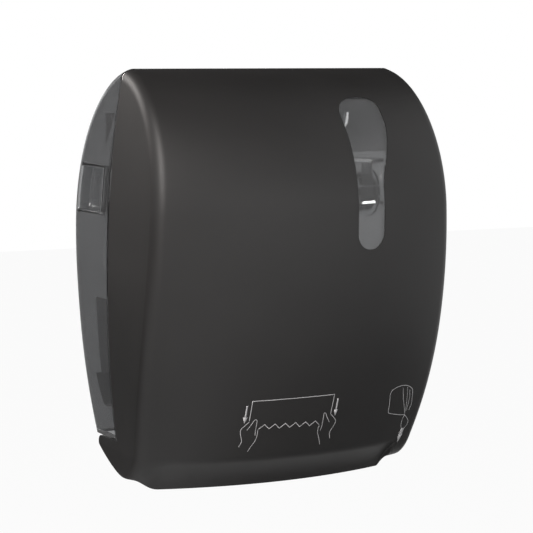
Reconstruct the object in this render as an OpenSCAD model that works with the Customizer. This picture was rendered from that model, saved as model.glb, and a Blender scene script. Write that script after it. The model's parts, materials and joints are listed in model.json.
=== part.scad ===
// Wall-held towel dispenser that feeds and cuts each towel as it is pulled from the lip.
// X runs to the right, the wall is the plane Y = 0, the front faces -Y and Z points up.
// Heights named h count up from the lip and depths named f count forward from the wall.

/* [Body] */
// Height from the lip to the ridge at the top
body_h = 371; // [365:1:385]
// Widest width, across the belly
body_w = 293; // [289:1:305]
// Depth from the wall to the middle of the front
body_d = 217; // [213:1:230]
// How far the front bows out over its full width
front_bow = 33; // [28:1:38]
// Rounding of the two upright front edges
edge_r = 16; // [12:0.5:18]
// Rounding of the two upright rear edges
rear_r = 5; // [3:0.5:7]
// Thickness of the cover and of the rear shell
wall = 2.6; // [2.2:0.1:3]
// Gap between the cover and the rear shell
seam = 0.8; // [0.5:0.1:1.2]
// How far each end of the lip stands in from the widest width
lip_inset = 34.5; // [32.5:0.5:38.5]
// How far the lip sets back from the sweep of the front
lip_recess = 17; // [10:1:20]

/* [Window] */
// Distance of the window from the middle plane
window_x = 47.6; // [44:0.2:52]
// Distance of the window's upper end below the ridge
window_drop = 26; // [25:1:33]
// Length of the window
window_long = 130; // [126:1:136]
// Width of the window's narrow lower part
window_narrow = 28.5; // [24:0.5:32]
// Width of the window's broad upper part
window_broad = 45; // [38:0.2:46]
// Thickness of the lens behind the window
lens_t = 2; // [1.5:0.1:2.5]

/* [Wall plate] */
// How far each side of the wall tray stands in from the widest width
tray_inset = 36.5; // [35.5:0.5:37.5]
// Height of the tray's lower edge
tray_low = 58; // [56:1:62]
// Distance of the tray's upper edge below the ridge
tray_drop = 41; // [39:1:47]
// Depth of the tray's rim
tray_deep = 34; // [32:0.5:36]
// Thickness of the tray's floor
tray_floor = 3.4; // [2.6:0.1:3.4]
// Distance across between wall screws
screw_across = 160; // [140:1:170]
// Distance upward between wall screws
screw_up = 140; // [120:1:150]
// Radius of each wall screw hole
screw_r = 2.75; // [2.25:0.25:3.25]

/* [Cutter] */
// Radius of the drum
drum_r = 38; // [37:0.5:38.5]
// Free room between each end of the drum and its side plate
drum_room = 2.4; // [2:0.1:4]
// Depth of the drum axis
drum_f = 85; // [83:0.5:87]
// Height of the drum axis
drum_h = 98; // [96:0.5:100]
// Travel of the knife out of the drum
knife_travel = 9; // [7:0.5:9]
// Radius of the drum shaft
shaft_r = 5; // [4:0.25:5.5]
// Radius of the pinch roller
pinch_r = 11; // [10:0.25:11.5]
// Free play round each turning shaft
play = 0.05; // [0.03:0.01:0.08]

/* [Roll holder] */
// Depth of the roll axis
roll_f = 105; // [100:1:110]
// Distance of the roll axis below the ridge
roll_drop = 114; // [109:1:119]
// Largest radius of the plugs that carry the roll's core
hub_r = 18; // [16:0.5:19.5]

/* [Hinge and lock] */
// Radius of the cover's hinge pins
hinge_r = 4; // [3:0.25:4.5]
// Radius of the lock barrel
lock_r = 6; // [5:0.25:6.5]

/* [Hidden] */
$fn = 96;
// Height of the wall screw pattern's centre above the lip
mount_h = 200;
// Side profile of the front
peak_h = 0.674 * body_h;
top_rise = body_h - peak_h;
apex_f = 0.373 * body_d;
sweep_r = 1.25 * body_h;
belly_h = 0.38 * body_h;
top_taper = 12;
low_taper = 13.1;
bow_r = (pow(body_w / 2, 2) + pow(front_bow, 2)) / (2 * front_bow);
// Side profile of the rear
rear_gap = tray_floor + 0.6;
rear_peak_h = 0.66 * body_h;
rear_rise = body_h - rear_peak_h;
rear_slope = 0.25;
rear_soft = 64.3;
// Edge between the cover and the rear shell
seam_mid = 0.3994 * body_d;
seam_mid_h = 0.633 * body_h;
seam_top = 11.9;
seam_low = 4;
seam_top_f = seam_mid + seam_top;
edge_lap = 0.5;
rear_reach = seam_top_f - seam - edge_lap - rear_gap;
rear_deep = 1.14 * rear_reach;
ridge_round = 5;
ridge_gap = 0.4;
ridge_hold = 20;
// Chin of the cover
chin_top = 34;
corner_r = 23;
chin_low = chin_top - corner_r;
lip_half = body_w / 2 - lip_inset;
lip_end = lip_half + 2;
lip_fade = 30;
hinge_f = 54;
hinge_h = 33;
knuckle_r = 9;
chin_rear_f = 96;
chin_curve = 0.75;
heel_back = 12;
heel_tuck = 0.1;
step_h = hinge_h + knuckle_r;
// Counts of facets in the shells
n_edge = 4;
n_bow = 7;
n_chin = 7;
n_body = 9;
n_top = 9;
// Places of the window and of the roll
window_high = body_h - window_drop;
window_low = window_high - window_long;
roll_h = body_h - roll_drop;
// Places of the cutter frame
tray_high = body_h - tray_drop;
tray_half = body_w / 2 - tray_inset;
tray_wall = 3;
plate_out = tray_half - tray_wall - 0.1;
plate_t = 3.5;
plate_in = plate_out - plate_t;
end_t = 3;
drum_len = 2 * (plate_in - end_t - drum_room);
drum_wall = 3;
slot_angle = 60;
slot_w = 10;
band_t = 0.9;
pin_r = 3;
pin_at = 18;
knife_tip = drum_r - 2;
track_deep = 2.2;
pinch_angle = 125;
nip = 0.3;
pinch_at = drum_r + band_t + pinch_r + nip;
block_long = 12;
block_w = 9.8;
pinch_give = 2.5;
crank_x = plate_out + 4;
crank_t = 5;
crank_at = 20;
post_back = 23;
post_rise = 66;
post_f = drum_f - post_back;
post_h = drum_h + post_rise;
ratchet_x = plate_out + 3.5;
ratchet_t = 5;
ratchet_r = 22;
lever_x = ratchet_x + ratchet_t + 2;
lever_t = 4;
lever_angle = -68;
pawl_at = 33;
pawl_turn = 30;
pawl_angle = 80;
pocket_drop = 88;
pocket_long = 40;
pocket_high = body_h - pocket_drop;
pocket_low = pocket_high - pocket_long;
pocket_rear = 11;
pocket_front = 68;
pocket_deep = 12;
lock_back = 23;
lock_f = seam_top_f - lock_back;
tongue_drop = 31.5;
tongue_h = body_h - tongue_drop;
tongue_t = 3.5;
lock_seat_h = body_h - 16;
lock_top_h = body_h - 4;
striker_h = body_h - 21;
striker_t = 3;

// Half width of the body at a height
function half_w(h) = body_w / 2 - (h > belly_h
    ? top_taper * pow((h - belly_h) / (body_h - belly_h), 2)
    : low_taper * pow((belly_h - h) / belly_h, 2));
// Depth of the middle of the front at a height under its peak
function front_f(h) = body_d - sweep_r + sqrt(pow(sweep_r, 2) - pow(peak_h - h, 2));
// Depth of the seam at a height
function seam_f(h) = seam_mid + (h > seam_mid_h
    ? seam_top * pow((h - seam_mid_h) / (body_h - seam_mid_h), 2)
    : seam_low * pow(min(1, (seam_mid_h - h) / (0.35 * body_h)), 1.3));
// Depth of the rear edge at a height under its peak
function rear_f(h) = rear_gap + rear_slope * (sqrt(pow(rear_soft, 2) + pow(rear_peak_h - h, 2)) - rear_soft);
// Rear edge of the chin, round the hinge and then down to the lip
function chin_f(h) = h >= hinge_h
    ? hinge_f - sqrt(max(0, pow(knuckle_r, 2) - pow(h - hinge_h, 2)))
    : chin_rear_f - (chin_rear_f - hinge_f + knuckle_r)
        * pow(max(0, h - chin_low) / (hinge_h - chin_low), chin_curve);
function cover_rear(h) = h < step_h ? chin_f(h) : seam_f(h);
// Set-back of the lip, which starts with a soft crease
function recess(h) = h > lip_fade ? 0 : lip_recess * sin(90 * (lip_fade - h) / lip_fade);
// A point in the frame of the part
function spot(x, f, h) = [x, -f, h - mount_h];
function side_of(x) = x < 0 ? -1 : 1;
// Where the bow of the front meets the rounded edge, for a half width and an inset
function bow_end(w, t) = (bow_r - t) * (w - edge_r) / (bow_r - edge_r);
// How far the bowed front lies behind its middle, at a place across and an inset
function bow_back(x, t) = sqrt(pow(bow_r - t, 2) - x * x) - bow_r;
lip_share = lip_half / bow_end(half_w(chin_top), 0);
bow_shares = concat([lip_share + 0.02], [for (k = [n_bow : -1 : -n_bow]) lip_share * k / n_bow],
    [-lip_share - 0.02]);
// Plan of the front at a half width: places across, depth from the middle, whether the lip carries on,
// and how far the rounded edge falls short of the bow
function edge_plan(w, t) = let (big = bow_r - edge_r, cx = w - edge_r, cy = sqrt(big * big - cx * cx) - bow_r,
    start = asin(cx / big), r = edge_r - t)
    [for (k = [0 : n_edge]) let (a = 90 + (start - 90) * k / n_edge, x = cx + r * sin(a), y = cy + r * cos(a))
        [x, y, 0, bow_back(x, t) - y]];
function bow_plan(w, t) = [for (q = bow_shares) let (x = q * bow_end(w, t))
    [x, bow_back(x, t), abs(q) < lip_share + 0.01 ? 1 : 0, 0]];
function plan(w, t) = let (edge = edge_plan(w, t))
    concat(edge, bow_plan(w, t), [for (k = [n_edge : -1 : 0]) [-edge[k][0], edge[k][1], 0, edge[k][3]]]);
// One row of the cover's chin: the lip carries on down and the heels beside it round under
function heel_x(x, under) = abs(x) - heel_tuck * under * (abs(x) - lip_end);
function chin_row(turn, t) = let (p = plan(half_w(chin_top), t), heel = corner_r - t, under = 1 - cos(turn),
    h = chin_top - heel * sin(turn), hl = chin_top * (1 - turn / 90), x0 = heel_x(p[0][0], under))
    concat([spot(x0, cover_rear(h), h)],
        [for (q = p) q[2] == 1
            ? spot(q[0], front_f(hl) + q[1] - recess(hl), hl)
            : spot(side_of(q[0]) * heel_x(q[0], under), front_f(h) + q[1] - heel_back * under, h)],
        [spot(-x0, cover_rear(h), h)]);
// One row of the cover between the chin and the peak
function body_row(h, t) = let (p = plan(half_w(h), t), x0 = half_w(h) - t)
    concat([spot(x0, cover_rear(h), h)], [for (q = p) spot(q[0], front_f(h) + q[1], h)],
        [spot(-x0, cover_rear(h), h)]);
// One row of the cover's rolled top, with its share of the way to the ridge
function top_point(q, share, t) = let (deep = body_d + q[1] + q[3] - apex_f, turn = 90 * share,
    a = share * acos((seam_top_f + edge_lap - apex_f) / deep),
    h = peak_h + (top_rise - t) * sin(a) - q[3] * sin(turn),
    back = pow(share, ridge_hold) * (seam_top_f - seam_f(h)))
    spot(q[0] * half_w(h) / half_w(peak_h), apex_f + deep * cos(a) - q[3] * cos(turn) - back, h);
function top_row(share, t) = let (p = [for (q = plan(half_w(peak_h), t)) top_point(q, share, t)],
    h = p[0][2] + mount_h, last = len(p) - 1)
    concat([spot(p[0][0], seam_f(h), h)], p, [spot(p[last][0], seam_f(h), h)]);
function cover_rows(t) = concat([for (k = [0 : n_chin]) chin_row(90 * (1 - k / n_chin), t)],
    [body_row(step_h - 0.4, t), body_row(step_h + 0.4, t)],
    [for (k = [1 : n_body]) body_row(step_h + (peak_h - step_h) * k / n_body, t)],
    [for (k = [1 : n_top]) top_row(k / n_top, t)]);
// One point of the rear shell's rounded edge, which turns from the rear to the roof with its share of the way
function shell_point(h, f, t, share, r, a) = let (fall = r * (1 - sin(a)), hp = h - fall * sin(90 * share))
    [half_w(hp) - t - r + r * cos(a), min(f + fall * cos(90 * share), seam_f(hp) - seam - ridge_gap), hp];
// One row of the rear shell from its front edge round the rear and back
shell_shares = [-0.85, -0.45, 0, 0.45, 0.85];
function shell_row(h, f, t, share) = let (r = rear_r + ridge_round * share - t,
    edge = [for (k = [0 : n_edge]) shell_point(h, f, t, share, r, 90 * k / n_edge)],
    x0 = edge[0][0], h0 = edge[0][2], front = seam_f(h0) - seam, fr = edge[n_edge][1])
    concat([spot(-x0, front, h0)],
        [for (p = edge) spot(-p[0], p[1], p[2])],
        [for (q = shell_shares) spot(q * (half_w(h) - rear_r - ridge_round), fr, h)],
        [for (k = [n_edge : -1 : 0]) spot(edge[k][0], edge[k][1], edge[k][2])],
        [spot(x0, front, h0)]);
shell_turn = acos(1 - rear_reach / rear_deep);
function shell_rows(t) = concat(
    [for (k = [0 : n_body]) let (h = step_h + 1.2 + (rear_peak_h - step_h - 1.2) * k / n_body)
        shell_row(h, rear_f(h) + t, t, 0)],
    [for (k = [1 : n_top]) let (a = shell_turn * k / n_top)
        shell_row(rear_peak_h + (rear_rise - t) * sin(a), rear_gap + rear_deep - (rear_deep - t) * cos(a), t,
            k / n_top)]);
// Depth of the front over any place near the window
function front_at(x, h, t) = h <= peak_h
    ? front_f(h) + bow_back(x, t)
    : let (xp = x * half_w(peak_h) / half_w(h), deep = body_d + bow_back(xp, t) - apex_f)
        apex_f + deep * sqrt(1 - pow((h - peak_h) / (top_rise - t), 2));
lens_edge = 9;
lens_gap = 0.7;
function lens_rows(t) = let (low = window_low - lens_edge, high = window_high + lens_edge - 1,
    reach = window_broad / 2 + lens_edge, middle = window_x + (window_broad - window_narrow) / 2)
    [for (k = [0 : 14]) let (h = low + (high - low) * k / 14)
        [for (j = [0 : 4]) let (x = middle + reach - 2 * reach * j / 4) spot(x, front_at(x, h, t), h)]];
// Outline of the window, narrow below and broad above, with a straight inner side
window_cap = 0.35 * window_broad;
window_flare = 1.45 * window_broad;
window_tip = 4;
cap_power = 2.5;
window_turn_h = window_high - window_cap;
window_flare_h = window_turn_h - window_flare;
function pear_flare(h) = (window_broad - window_narrow) / 2
    * (1 - cos(180 * min(1, max(0, h - window_flare_h) / window_flare))) / 2;
function pear_cap(h) = max(0, h - window_turn_h) / window_cap;
function pear_lean(h) = pear_flare(h) + window_tip * pow(pear_cap(h), 1.5);
function pear_half(h) = let (n = window_narrow / 2)
    h < window_low + n ? sqrt(max(0, n * n - pow(window_low + n - h, 2)))
    : (n + pear_flare(h)) * pow(max(0, 1 - pow(pear_cap(h), cap_power)), 1 / cap_power);
function pear_height(k) = (window_low + window_high) / 2 - (window_high - window_low) / 2 * cos(180 * k / 30);
pear = concat([for (k = [0 : 30]) let (h = pear_height(k)) [pear_lean(h) + pear_half(h), h]],
    [for (k = [29 : -1 : 1]) let (h = pear_height(k)) [pear_lean(h) - pear_half(h), h]]);

// Closed shell between an outer and an inner net of points
module net_shell(outer, inner) {
    rows = len(outer);
    cols = len(outer[0]);
    all = rows * cols;
    points = concat([for (r = outer) each r], [for (r = inner) each r]);
    skin = [for (i = [0 : rows - 2]) for (j = [0 : cols - 2])
        [i * cols + j, i * cols + j + 1, (i + 1) * cols + j + 1, (i + 1) * cols + j]];
    low = [for (j = [0 : cols - 2]) [j + 1, j, all + j, all + j + 1]];
    top = (rows - 1) * cols;
    high = [for (j = [0 : cols - 2]) [top + j, top + j + 1, all + top + j + 1, all + top + j]];
    first = [for (i = [0 : rows - 2]) [i * cols, (i + 1) * cols, all + (i + 1) * cols, all + i * cols]];
    end = cols - 1;
    last = [for (i = [0 : rows - 2])
        [(i + 1) * cols + end, i * cols + end, all + i * cols + end, all + (i + 1) * cols + end]];
    inside = [for (s = skin) [s[3] + all, s[2] + all, s[1] + all, s[0] + all]];
    quads = concat(skin, inside, low, high, first, last);
    polyhedron(points, [for (s = quads) each [[s[0], s[1], s[2]], [s[0], s[2], s[3]]]]);
}
// Box between two places across, two depths and two heights
module block(x0, x1, f0, f1, h0, h1) {
    translate([x0, -f1, h0 - mount_h]) cube([x1 - x0, f1 - f0, h1 - h0]);
}
// Rod along X
module rod(r, x0, x1, f, h) {
    translate([x0, -f, h - mount_h]) rotate([0, 90, 0]) cylinder(r = r, h = x1 - x0);
}
// Upright rod
module post(r, x, f, h0, h1) {
    translate([x, -f, h0 - mount_h]) cylinder(r = r, h = h1 - h0);
}
// Flat sheet between two places across, drawn as depth and height
module sheet(x0, x1) {
    translate([x1, 0, -mount_h]) rotate([90, 0, -90]) linear_extrude(x1 - x0) children();
}
// The same, drawn round the drum axis and turned
module drum_sheet(x0, x1, turn) {
    sheet(x0, x1) translate([drum_f, drum_h]) rotate(turn) children();
}
module pair() {
    children();
    mirror([1, 0, 0]) children();
}
// A direction of unit length, and the share of one that lies square to another
function unit(v) = v / norm(v);
function square_to(v, t) = unit(v - (v * t) * t);
// Wire of a coil spring between two points, with straight ends
module coil(start, stop, radius, wire, turns, lead) {
    axis = unit(stop - start);
    u = square_to([1, 0, 0], axis);
    v = cross(axis, u);
    long = norm(stop - start) - 2 * lead;
    curl = [for (k = [0 : 8 * turns]) let (a = 45 * k, q = k / (8 * turns))
        start + axis * (lead + long * q) + radius * (u * cos(a) + v * sin(a))];
    path = concat([start, start + axis * 2 * wire, start + axis * (lead - wire) + radius * 0.5 * u], curl,
        [stop - axis * (lead - wire) + radius * 0.5 * u, stop - axis * 2 * wire, stop]);
    n = len(path) - 1;
    tangents = [for (k = [0 : n]) k == 0 || k == n ? axis : unit(path[k + 1] - path[k - 1])];
    sides = [for (k = 0, s = square_to(v, axis); k <= n;
        k = k + 1, s = k <= n ? square_to(s, tangents[k]) : s) s];
    points = [for (k = [0 : n]) for (j = [0 : 5]) let (w = cross(tangents[k], sides[k]))
        path[k] + wire * (sides[k] * cos(60 * j) + w * sin(60 * j))];
    tube = [for (k = [0 : n - 1]) for (j = [0 : 5]) let (m = (j + 1) % 6)
        each [[6 * k + j, 6 * k + 6 + j, 6 * k + 6 + m], [6 * k + j, 6 * k + 6 + m, 6 * k + m]]];
    echo(str("gap between curls ", long / turns - 2 * wire));
    polyhedron(points, concat([[for (j = [0 : 5]) j]], [[for (j = [5 : -1 : 0]) 6 * n + j]], tube));
}
function round_drum(r, a) = [drum_f + r * cos(a), drum_h + r * sin(a)];

// Tray that is screwed to the wall, with lugs for the roll arms
module back_plate() {
    color("Gainsboro") difference() {
        union() {
            block(-tray_half, tray_half, 0, tray_floor, tray_low, tray_high);
            pair() block(tray_half - tray_wall, tray_half, 0, tray_deep, tray_low, tray_high);
            block(-tray_half, tray_half, 0, tray_deep, tray_high - tray_wall, tray_high);
            pair() arm_lug(roll_h - arm_half_h - 0.2 - lug_t);
            pair() arm_lug(roll_h + arm_half_h + 0.2);
        }
        for (x = [-1, 1]) for (z = [-1, 1])
            translate([x * screw_across / 2, 1, z * screw_up / 2]) rotate([90, 0, 0])
                cylinder(r = screw_r, h = tray_floor + 2);
        pair() post(arm_pin_r, arm_x, arm_f, roll_h - arm_pin_half - 0.5, roll_h + arm_pin_half + 0.5);
        pair() frame_screw_places() rod(frame_screw_r + 0.05, plate_in - 1, tray_half + 1, 0, mount_h);
    }
}
arm_inset = 3;
arm_reach = 12;
arm_x = tray_half - arm_inset;
arm_f = tray_deep + arm_reach;
arm_pin_r = 2.5;
arm_half_h = 6.8;
lug_t = 4;
arm_pin_half = arm_half_h + lug_t + 0.7;
module arm_lug(h) {
    block(arm_x - 4, arm_x + 3, tray_deep - 6, arm_f + 4, h, h + lug_t);
}
frame_screw_r = 1.6;
frame_screw_f = 12;
frame_screw_low = 13;
frame_screw_high = 52;
frame_screw_hs = [drum_h - frame_screw_low, drum_h + frame_screw_high];
module frame_screw_places() {
    for (h = frame_screw_hs) translate([0, -frame_screw_f, h - mount_h]) children();
}
// Smoke shell: two sides, rounded rear edges and a roof
module rear_shell() {
    hole = tray_half + 0.4;
    color("DimGray") difference() {
        net_shell(shell_rows(0), shell_rows(wall));
        block(-hole, hole, -10, 62, 0, tray_high + 0.4);
        pair() block(pocket_mouth - 6, pocket_mouth + 12, pocket_rear, pocket_front, pocket_low, pocket_high);
        post(lock_r + 2.5, 0, lock_f, tongue_h, body_h + 1);
    }
}
// Finger pockets let into the sides of the rear shell
pocket_mouth = half_w((pocket_low + pocket_high) / 2) - 1.6;
pocket_wall = 1.8;
module pocket_box() {
    gap = 0.2;
    floor_x = pocket_mouth - pocket_deep;
    difference() {
        block(floor_x, pocket_mouth, pocket_rear + gap, pocket_front - gap,
            pocket_low + gap, pocket_high - gap);
        block(floor_x + pocket_wall, pocket_mouth + 1, pocket_rear + pocket_wall, pocket_front - pocket_wall,
            pocket_low + pocket_wall, pocket_high - pocket_wall);
    }
}
module pocket_right() {
    color("SlateGray") pocket_box();
}
module pocket_left() {
    color("SlateGray") mirror([1, 0, 0]) pocket_box();
}
// Outline of a side plate of the cutter frame, with an eye for the hinge pin
plate_rear = 8;
plate_low = tray_low + 6;
plate_rise = 72;
plate_reach = 56;
plate_eye = 8;
plate_brow = 17;
plate_nose = 14;
plate_drop = 50;
module plate_outline() {
    polygon([[plate_rear, plate_low], [plate_rear, drum_h + plate_rise],
        [drum_f - plate_brow, drum_h + plate_rise + 2], [drum_f + tie_front, drum_h + tie_high + 6],
        [drum_f + plate_reach, drum_h + plate_nose], [drum_f + plate_reach, drum_h - plate_nose],
        [drum_f + tie_front, drum_h - plate_drop], [hinge_f + plate_eye + 2, hinge_h + 11],
        [hinge_f + plate_eye, hinge_h], [hinge_f - plate_eye, hinge_h], [hinge_f - plate_eye, plate_low]]);
    translate([hinge_f, hinge_h]) circle(plate_eye);
}
bush_r = 8;
rod_r = 4;
spring_room = 10;
seat_at = pinch_at + block_long / 2 + spring_room;
module side_plate(lugs) {
    difference() {
        union() {
            sheet(plate_in, plate_out) plate_outline();
            drum_sheet(plate_out, plate_out + 7, pinch_angle) translate([seat_at, -5]) square([3, 10]);
        }
        rod(bush_r, plate_in - 1, plate_out + 1, drum_f, drum_h);
        rod(hinge_r, plate_in - 1, plate_out + 1, hinge_f, hinge_h);
        drum_sheet(plate_in - 1, plate_out + 1, pinch_angle)
            translate([pinch_at - block_long / 2 - 0.1, -block_w / 2 - 0.1])
                square([block_long + pinch_give + 0.2, block_w + 0.2]);
        drum_sheet(plate_in - 1, plate_in + track_deep, 0) difference() {
            circle(pin_at + pin_r + 0.4);
            circle(pin_at - pin_r - 0.4);
        }
        drum_sheet(plate_in - 1, plate_in + track_deep, slot_angle) for (a = [0, 180]) rotate(a)
            translate([pin_at, -pin_r - 0.4]) square([knife_travel + pin_r + 0.6, 2 * pin_r + 0.8]);
        frame_screw_places() rod(frame_screw_r + 0.05, plate_in - 1, tray_half + 1, 0, mount_h);
        for (p = lugs) rod(p[2], plate_in - 1, plate_out + 1, p[0], p[1]);
    }
}
post_r = 3;
pawl_pin_r = 2;
lever_post_back = 24;
lever_post_drop = 34;
lever_post_f = drum_f - lever_post_back;
lever_post_h = drum_h - lever_post_drop;
module side_plate_right() {
    p = round_drum(pawl_at, pawl_angle + 180);
    color("DarkGray") side_plate([[p[0], p[1], pawl_pin_r], [lever_post_f, lever_post_h, pawl_pin_r]]);
}
module side_plate_left() {
    color("DarkGray") mirror([1, 0, 0]) side_plate([[post_f, post_h, post_r]]);
}
// Curved sheet that leads the towel round the front of the drum
chute_r = drum_r + knife_travel + 2.5;
module paper_chute() {
    color("Silver") drum_sheet(-plate_in + 0.1, plate_in - 0.1, 0) intersection() {
        difference() {
            circle(chute_r + 2);
            circle(chute_r);
        }
        polygon(chute_r * [[0, 0], 2 * [cos(75), -sin(75)], [2.8, -1.2], 2 * [cos(5), -sin(5)]]);
    }
}
// Rods that tie the two side plates together
tie_rear = 49;
tie_low = 16;
tie_front = 27;
tie_high = 48;
tie_places = [[drum_f - tie_rear, drum_h - tie_low], [drum_f + tie_front, drum_h + tie_high]];
module tie_rods() {
    color("LightSteelBlue") for (p = tie_places) rod(rod_r, -plate_in, plate_in, p[0], p[1]);
}
module frame_screws() {
    color("LightSlateGray") pair() frame_screw_places() {
        rod(frame_screw_r, plate_in - 0.5, tray_half + 0.5, 0, mount_h);
        rod(2 * frame_screw_r, tray_half, tray_half + 2, 0, mount_h);
    }
}
// Flanged bushes of the drum shaft
module drum_bushes() {
    color("Ivory") pair() difference() {
        union() {
            rod(bush_r - play, plate_in + 0.2, plate_out + 0.5, drum_f, drum_h);
            rod(bush_r + 2, plate_out, plate_out + 2, drum_f, drum_h);
        }
        rod(shaft_r + play, plate_in - 1, plate_out + 3, drum_f, drum_h);
    }
}
// Posts that the two return springs hang on
spring_x = crank_x + crank_t + 5;
lever_spring_x = lever_x + lever_t + 4;
module spring_post() {
    color("LightSteelBlue") {
        rod(post_r - play, -spring_x - 4, -plate_in - 0.3, post_f, post_h);
        rod(pawl_pin_r - play, plate_in + 0.3, lever_spring_x + 4, lever_post_f, lever_post_h);
    }
}
crank_angle = atan2(post_h - drum_h, post_f - drum_f);
crank_pin_r = 3;
// Coil from near one pin to near another in the plane at x, clear of both pins
module hung_coil(x, from, from_r, to, to_r, radius, wire, turns, lead) {
    aim = unit(to - from);
    start = from + aim * (from_r + 0.1);
    stop = to - aim * (to_r + 0.05);
    coil(spot(x, start[0], start[1]), spot(x, stop[0], stop[1]), radius, wire, turns, lead);
}
module crank_spring() {
    from = round_drum(crank_at, crank_angle);
    color("Silver") hung_coil(-spring_x, from, crank_pin_r, [post_f, post_h], post_r,
        radius = 3.4, wire = 0.55, turns = 18, lead = 5);
}
lever_lug_at = 20;
lever_lug_r = 2;
module lever_spring() {
    color("Silver") hung_coil(lever_spring_x, round_drum(lever_lug_at, 180), lever_lug_r,
        [lever_post_f, lever_post_h], pawl_pin_r, radius = 2.6, wire = 0.45, turns = 12, lead = 4);
}
pinch_spring_x = plate_out + 3.4;
module pinch_springs() {
    near = round_drum(pinch_at + block_long / 2 + 0.05, pinch_angle);
    far = round_drum(seat_at - 0.05, pinch_angle);
    color("Silver") for (x = [-pinch_spring_x, pinch_spring_x])
        coil(spot(x, near[0], near[1]), spot(x, far[0], far[1]), radius = 2.4, wire = 0.4, turns = 5,
            lead = 1.6);
}
module pawl_pin() {
    p = round_drum(pawl_at, pawl_angle + 180);
    color("LightSteelBlue") rod(pawl_pin_r - play, plate_in + 0.3, ratchet_x + ratchet_t + 1, p[0], p[1]);
}
knuckle_x = plate_out + 12;
module hinge_pins() {
    color("LightSteelBlue") pair() rod(hinge_r - play, plate_in + 0.2, knuckle_x + 8, hinge_f, hinge_h);
}
module arm_pins() {
    color("LightSteelBlue") pair()
        post(arm_pin_r - play, arm_x, arm_f, roll_h - arm_pin_half, roll_h + arm_pin_half);
}
// Tube under the roof that holds the lock barrel
module lock_housing() {
    color("DarkSlateGray") difference() {
        post(lock_r + 4, 0, lock_f, tongue_h + 6, lock_seat_h);
        post(lock_r + play, 0, lock_f, tongue_h, lock_seat_h + 1);
    }
}
module drum_shaft() {
    color("LightSteelBlue") rod(shaft_r, -crank_x - crank_t - 1, lever_x + lever_t + 5, drum_f, drum_h);
}
module half_drum() {
    difference() {
        circle(drum_r);
        circle(drum_r - drum_wall);
        translate([-drum_r - 1, -drum_r - 1]) square([2 * drum_r + 2, drum_r + 1.15]);
        translate([0, -1]) square([drum_r + 1, slot_w / 2 + 1]);
    }
}
module drum_shell_upper() {
    color("WhiteSmoke") drum_sheet(-drum_len / 2, drum_len / 2, slot_angle) half_drum();
}
module drum_shell_lower() {
    color("WhiteSmoke") drum_sheet(-drum_len / 2, drum_len / 2, slot_angle) mirror([0, 1]) half_drum();
}
// End of the drum: a disc, a spigot inside the shells and a slot for the knife pin
spigot = 5;
knife_bay = pin_at / 2;
module drum_end() {
    x0 = drum_len / 2;
    difference() {
        union() {
            drum_sheet(x0, x0 + end_t, 0) circle(drum_r);
            drum_sheet(x0 - spigot, x0, slot_angle) difference() {
                circle(drum_r - drum_wall - 0.1);
                translate([knife_bay, -slot_w / 2 - 1]) square([drum_r, slot_w + 2]);
            }
        }
        rod(shaft_r, x0 - spigot - 1, x0 + end_t + 1, drum_f, drum_h);
        drum_sheet(x0 - 1, x0 + end_t + 1, slot_angle) translate([pin_at - pin_r - 0.4, -pin_r - 0.4])
            square([knife_travel + 2 * pin_r + 0.8, 2 * pin_r + 0.8]);
    }
}
module drum_end_right() {
    color("LightGray") drum_end();
}
module drum_end_left() {
    color("LightGray") mirror([1, 0, 0]) drum_end();
}
// Rubber bands round the drum that grip the towel
band_w = 14;
band_step = drum_len * 10 / 49;
band_places = [for (k = [-2 : 2]) k * band_step];
module grip_bands() {
    color("DimGray") for (x = band_places) drum_sheet(x - band_w / 2, x + band_w / 2, slot_angle) difference() {
        circle(drum_r + band_t);
        circle(drum_r + 0.02);
        translate([0, -slot_w / 2 - 1.5]) square([drum_r + 2, slot_w + 3]);
    }
}
// Disc and pin that the crank spring pulls the drum home with
module crank_disc() {
    from = round_drum(crank_at, crank_angle);
    color("LightGray") difference() {
        union() {
            rod(crank_at + 2 * crank_pin_r, -crank_x - crank_t, -crank_x, drum_f, drum_h);
            rod(crank_pin_r, -spring_x - 4, -crank_x - crank_t / 2, from[0], from[1]);
        }
        rod(shaft_r, -crank_x - crank_t - 1, -crank_x + 1, drum_f, drum_h);
    }
}
teeth = 16;
module ratchet_wheel() {
    step = 360 / teeth;
    color("LightGray") difference() {
        drum_sheet(ratchet_x, ratchet_x + ratchet_t, 0) polygon([for (k = [0 : teeth - 1])
            each [ratchet_r * [cos(k * step), sin(k * step)],
                (ratchet_r - 3.5) * [cos((k + 0.1) * step), sin((k + 0.1) * step)]]]);
        rod(shaft_r, ratchet_x - 1, ratchet_x + ratchet_t + 1, drum_f, drum_h);
    }
}
// Ring that keeps the feed lever on the shaft
module shaft_clip() {
    x0 = lever_x + lever_t + 0.6;
    color("LightSlateGray") difference() {
        rod(shaft_r + 3, x0, x0 + 2, drum_f, drum_h);
        rod(shaft_r, x0 - 1, x0 + 3, drum_f, drum_h);
    }
}
knife_half = drum_len / 2 - spigot - 1;
holder_deep = 14;
blade_low = pin_at + 4;
blade_t = 0.8;
module knife_holder() {
    color("LightGray") drum_sheet(-knife_half, knife_half, slot_angle) difference() {
        translate([pin_at - 4, -pin_r]) square([holder_deep, 2 * pin_r]);
        translate([blade_low, -blade_t / 2 - 0.1]) square([holder_deep, pin_r + 1]);
    }
}
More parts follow.
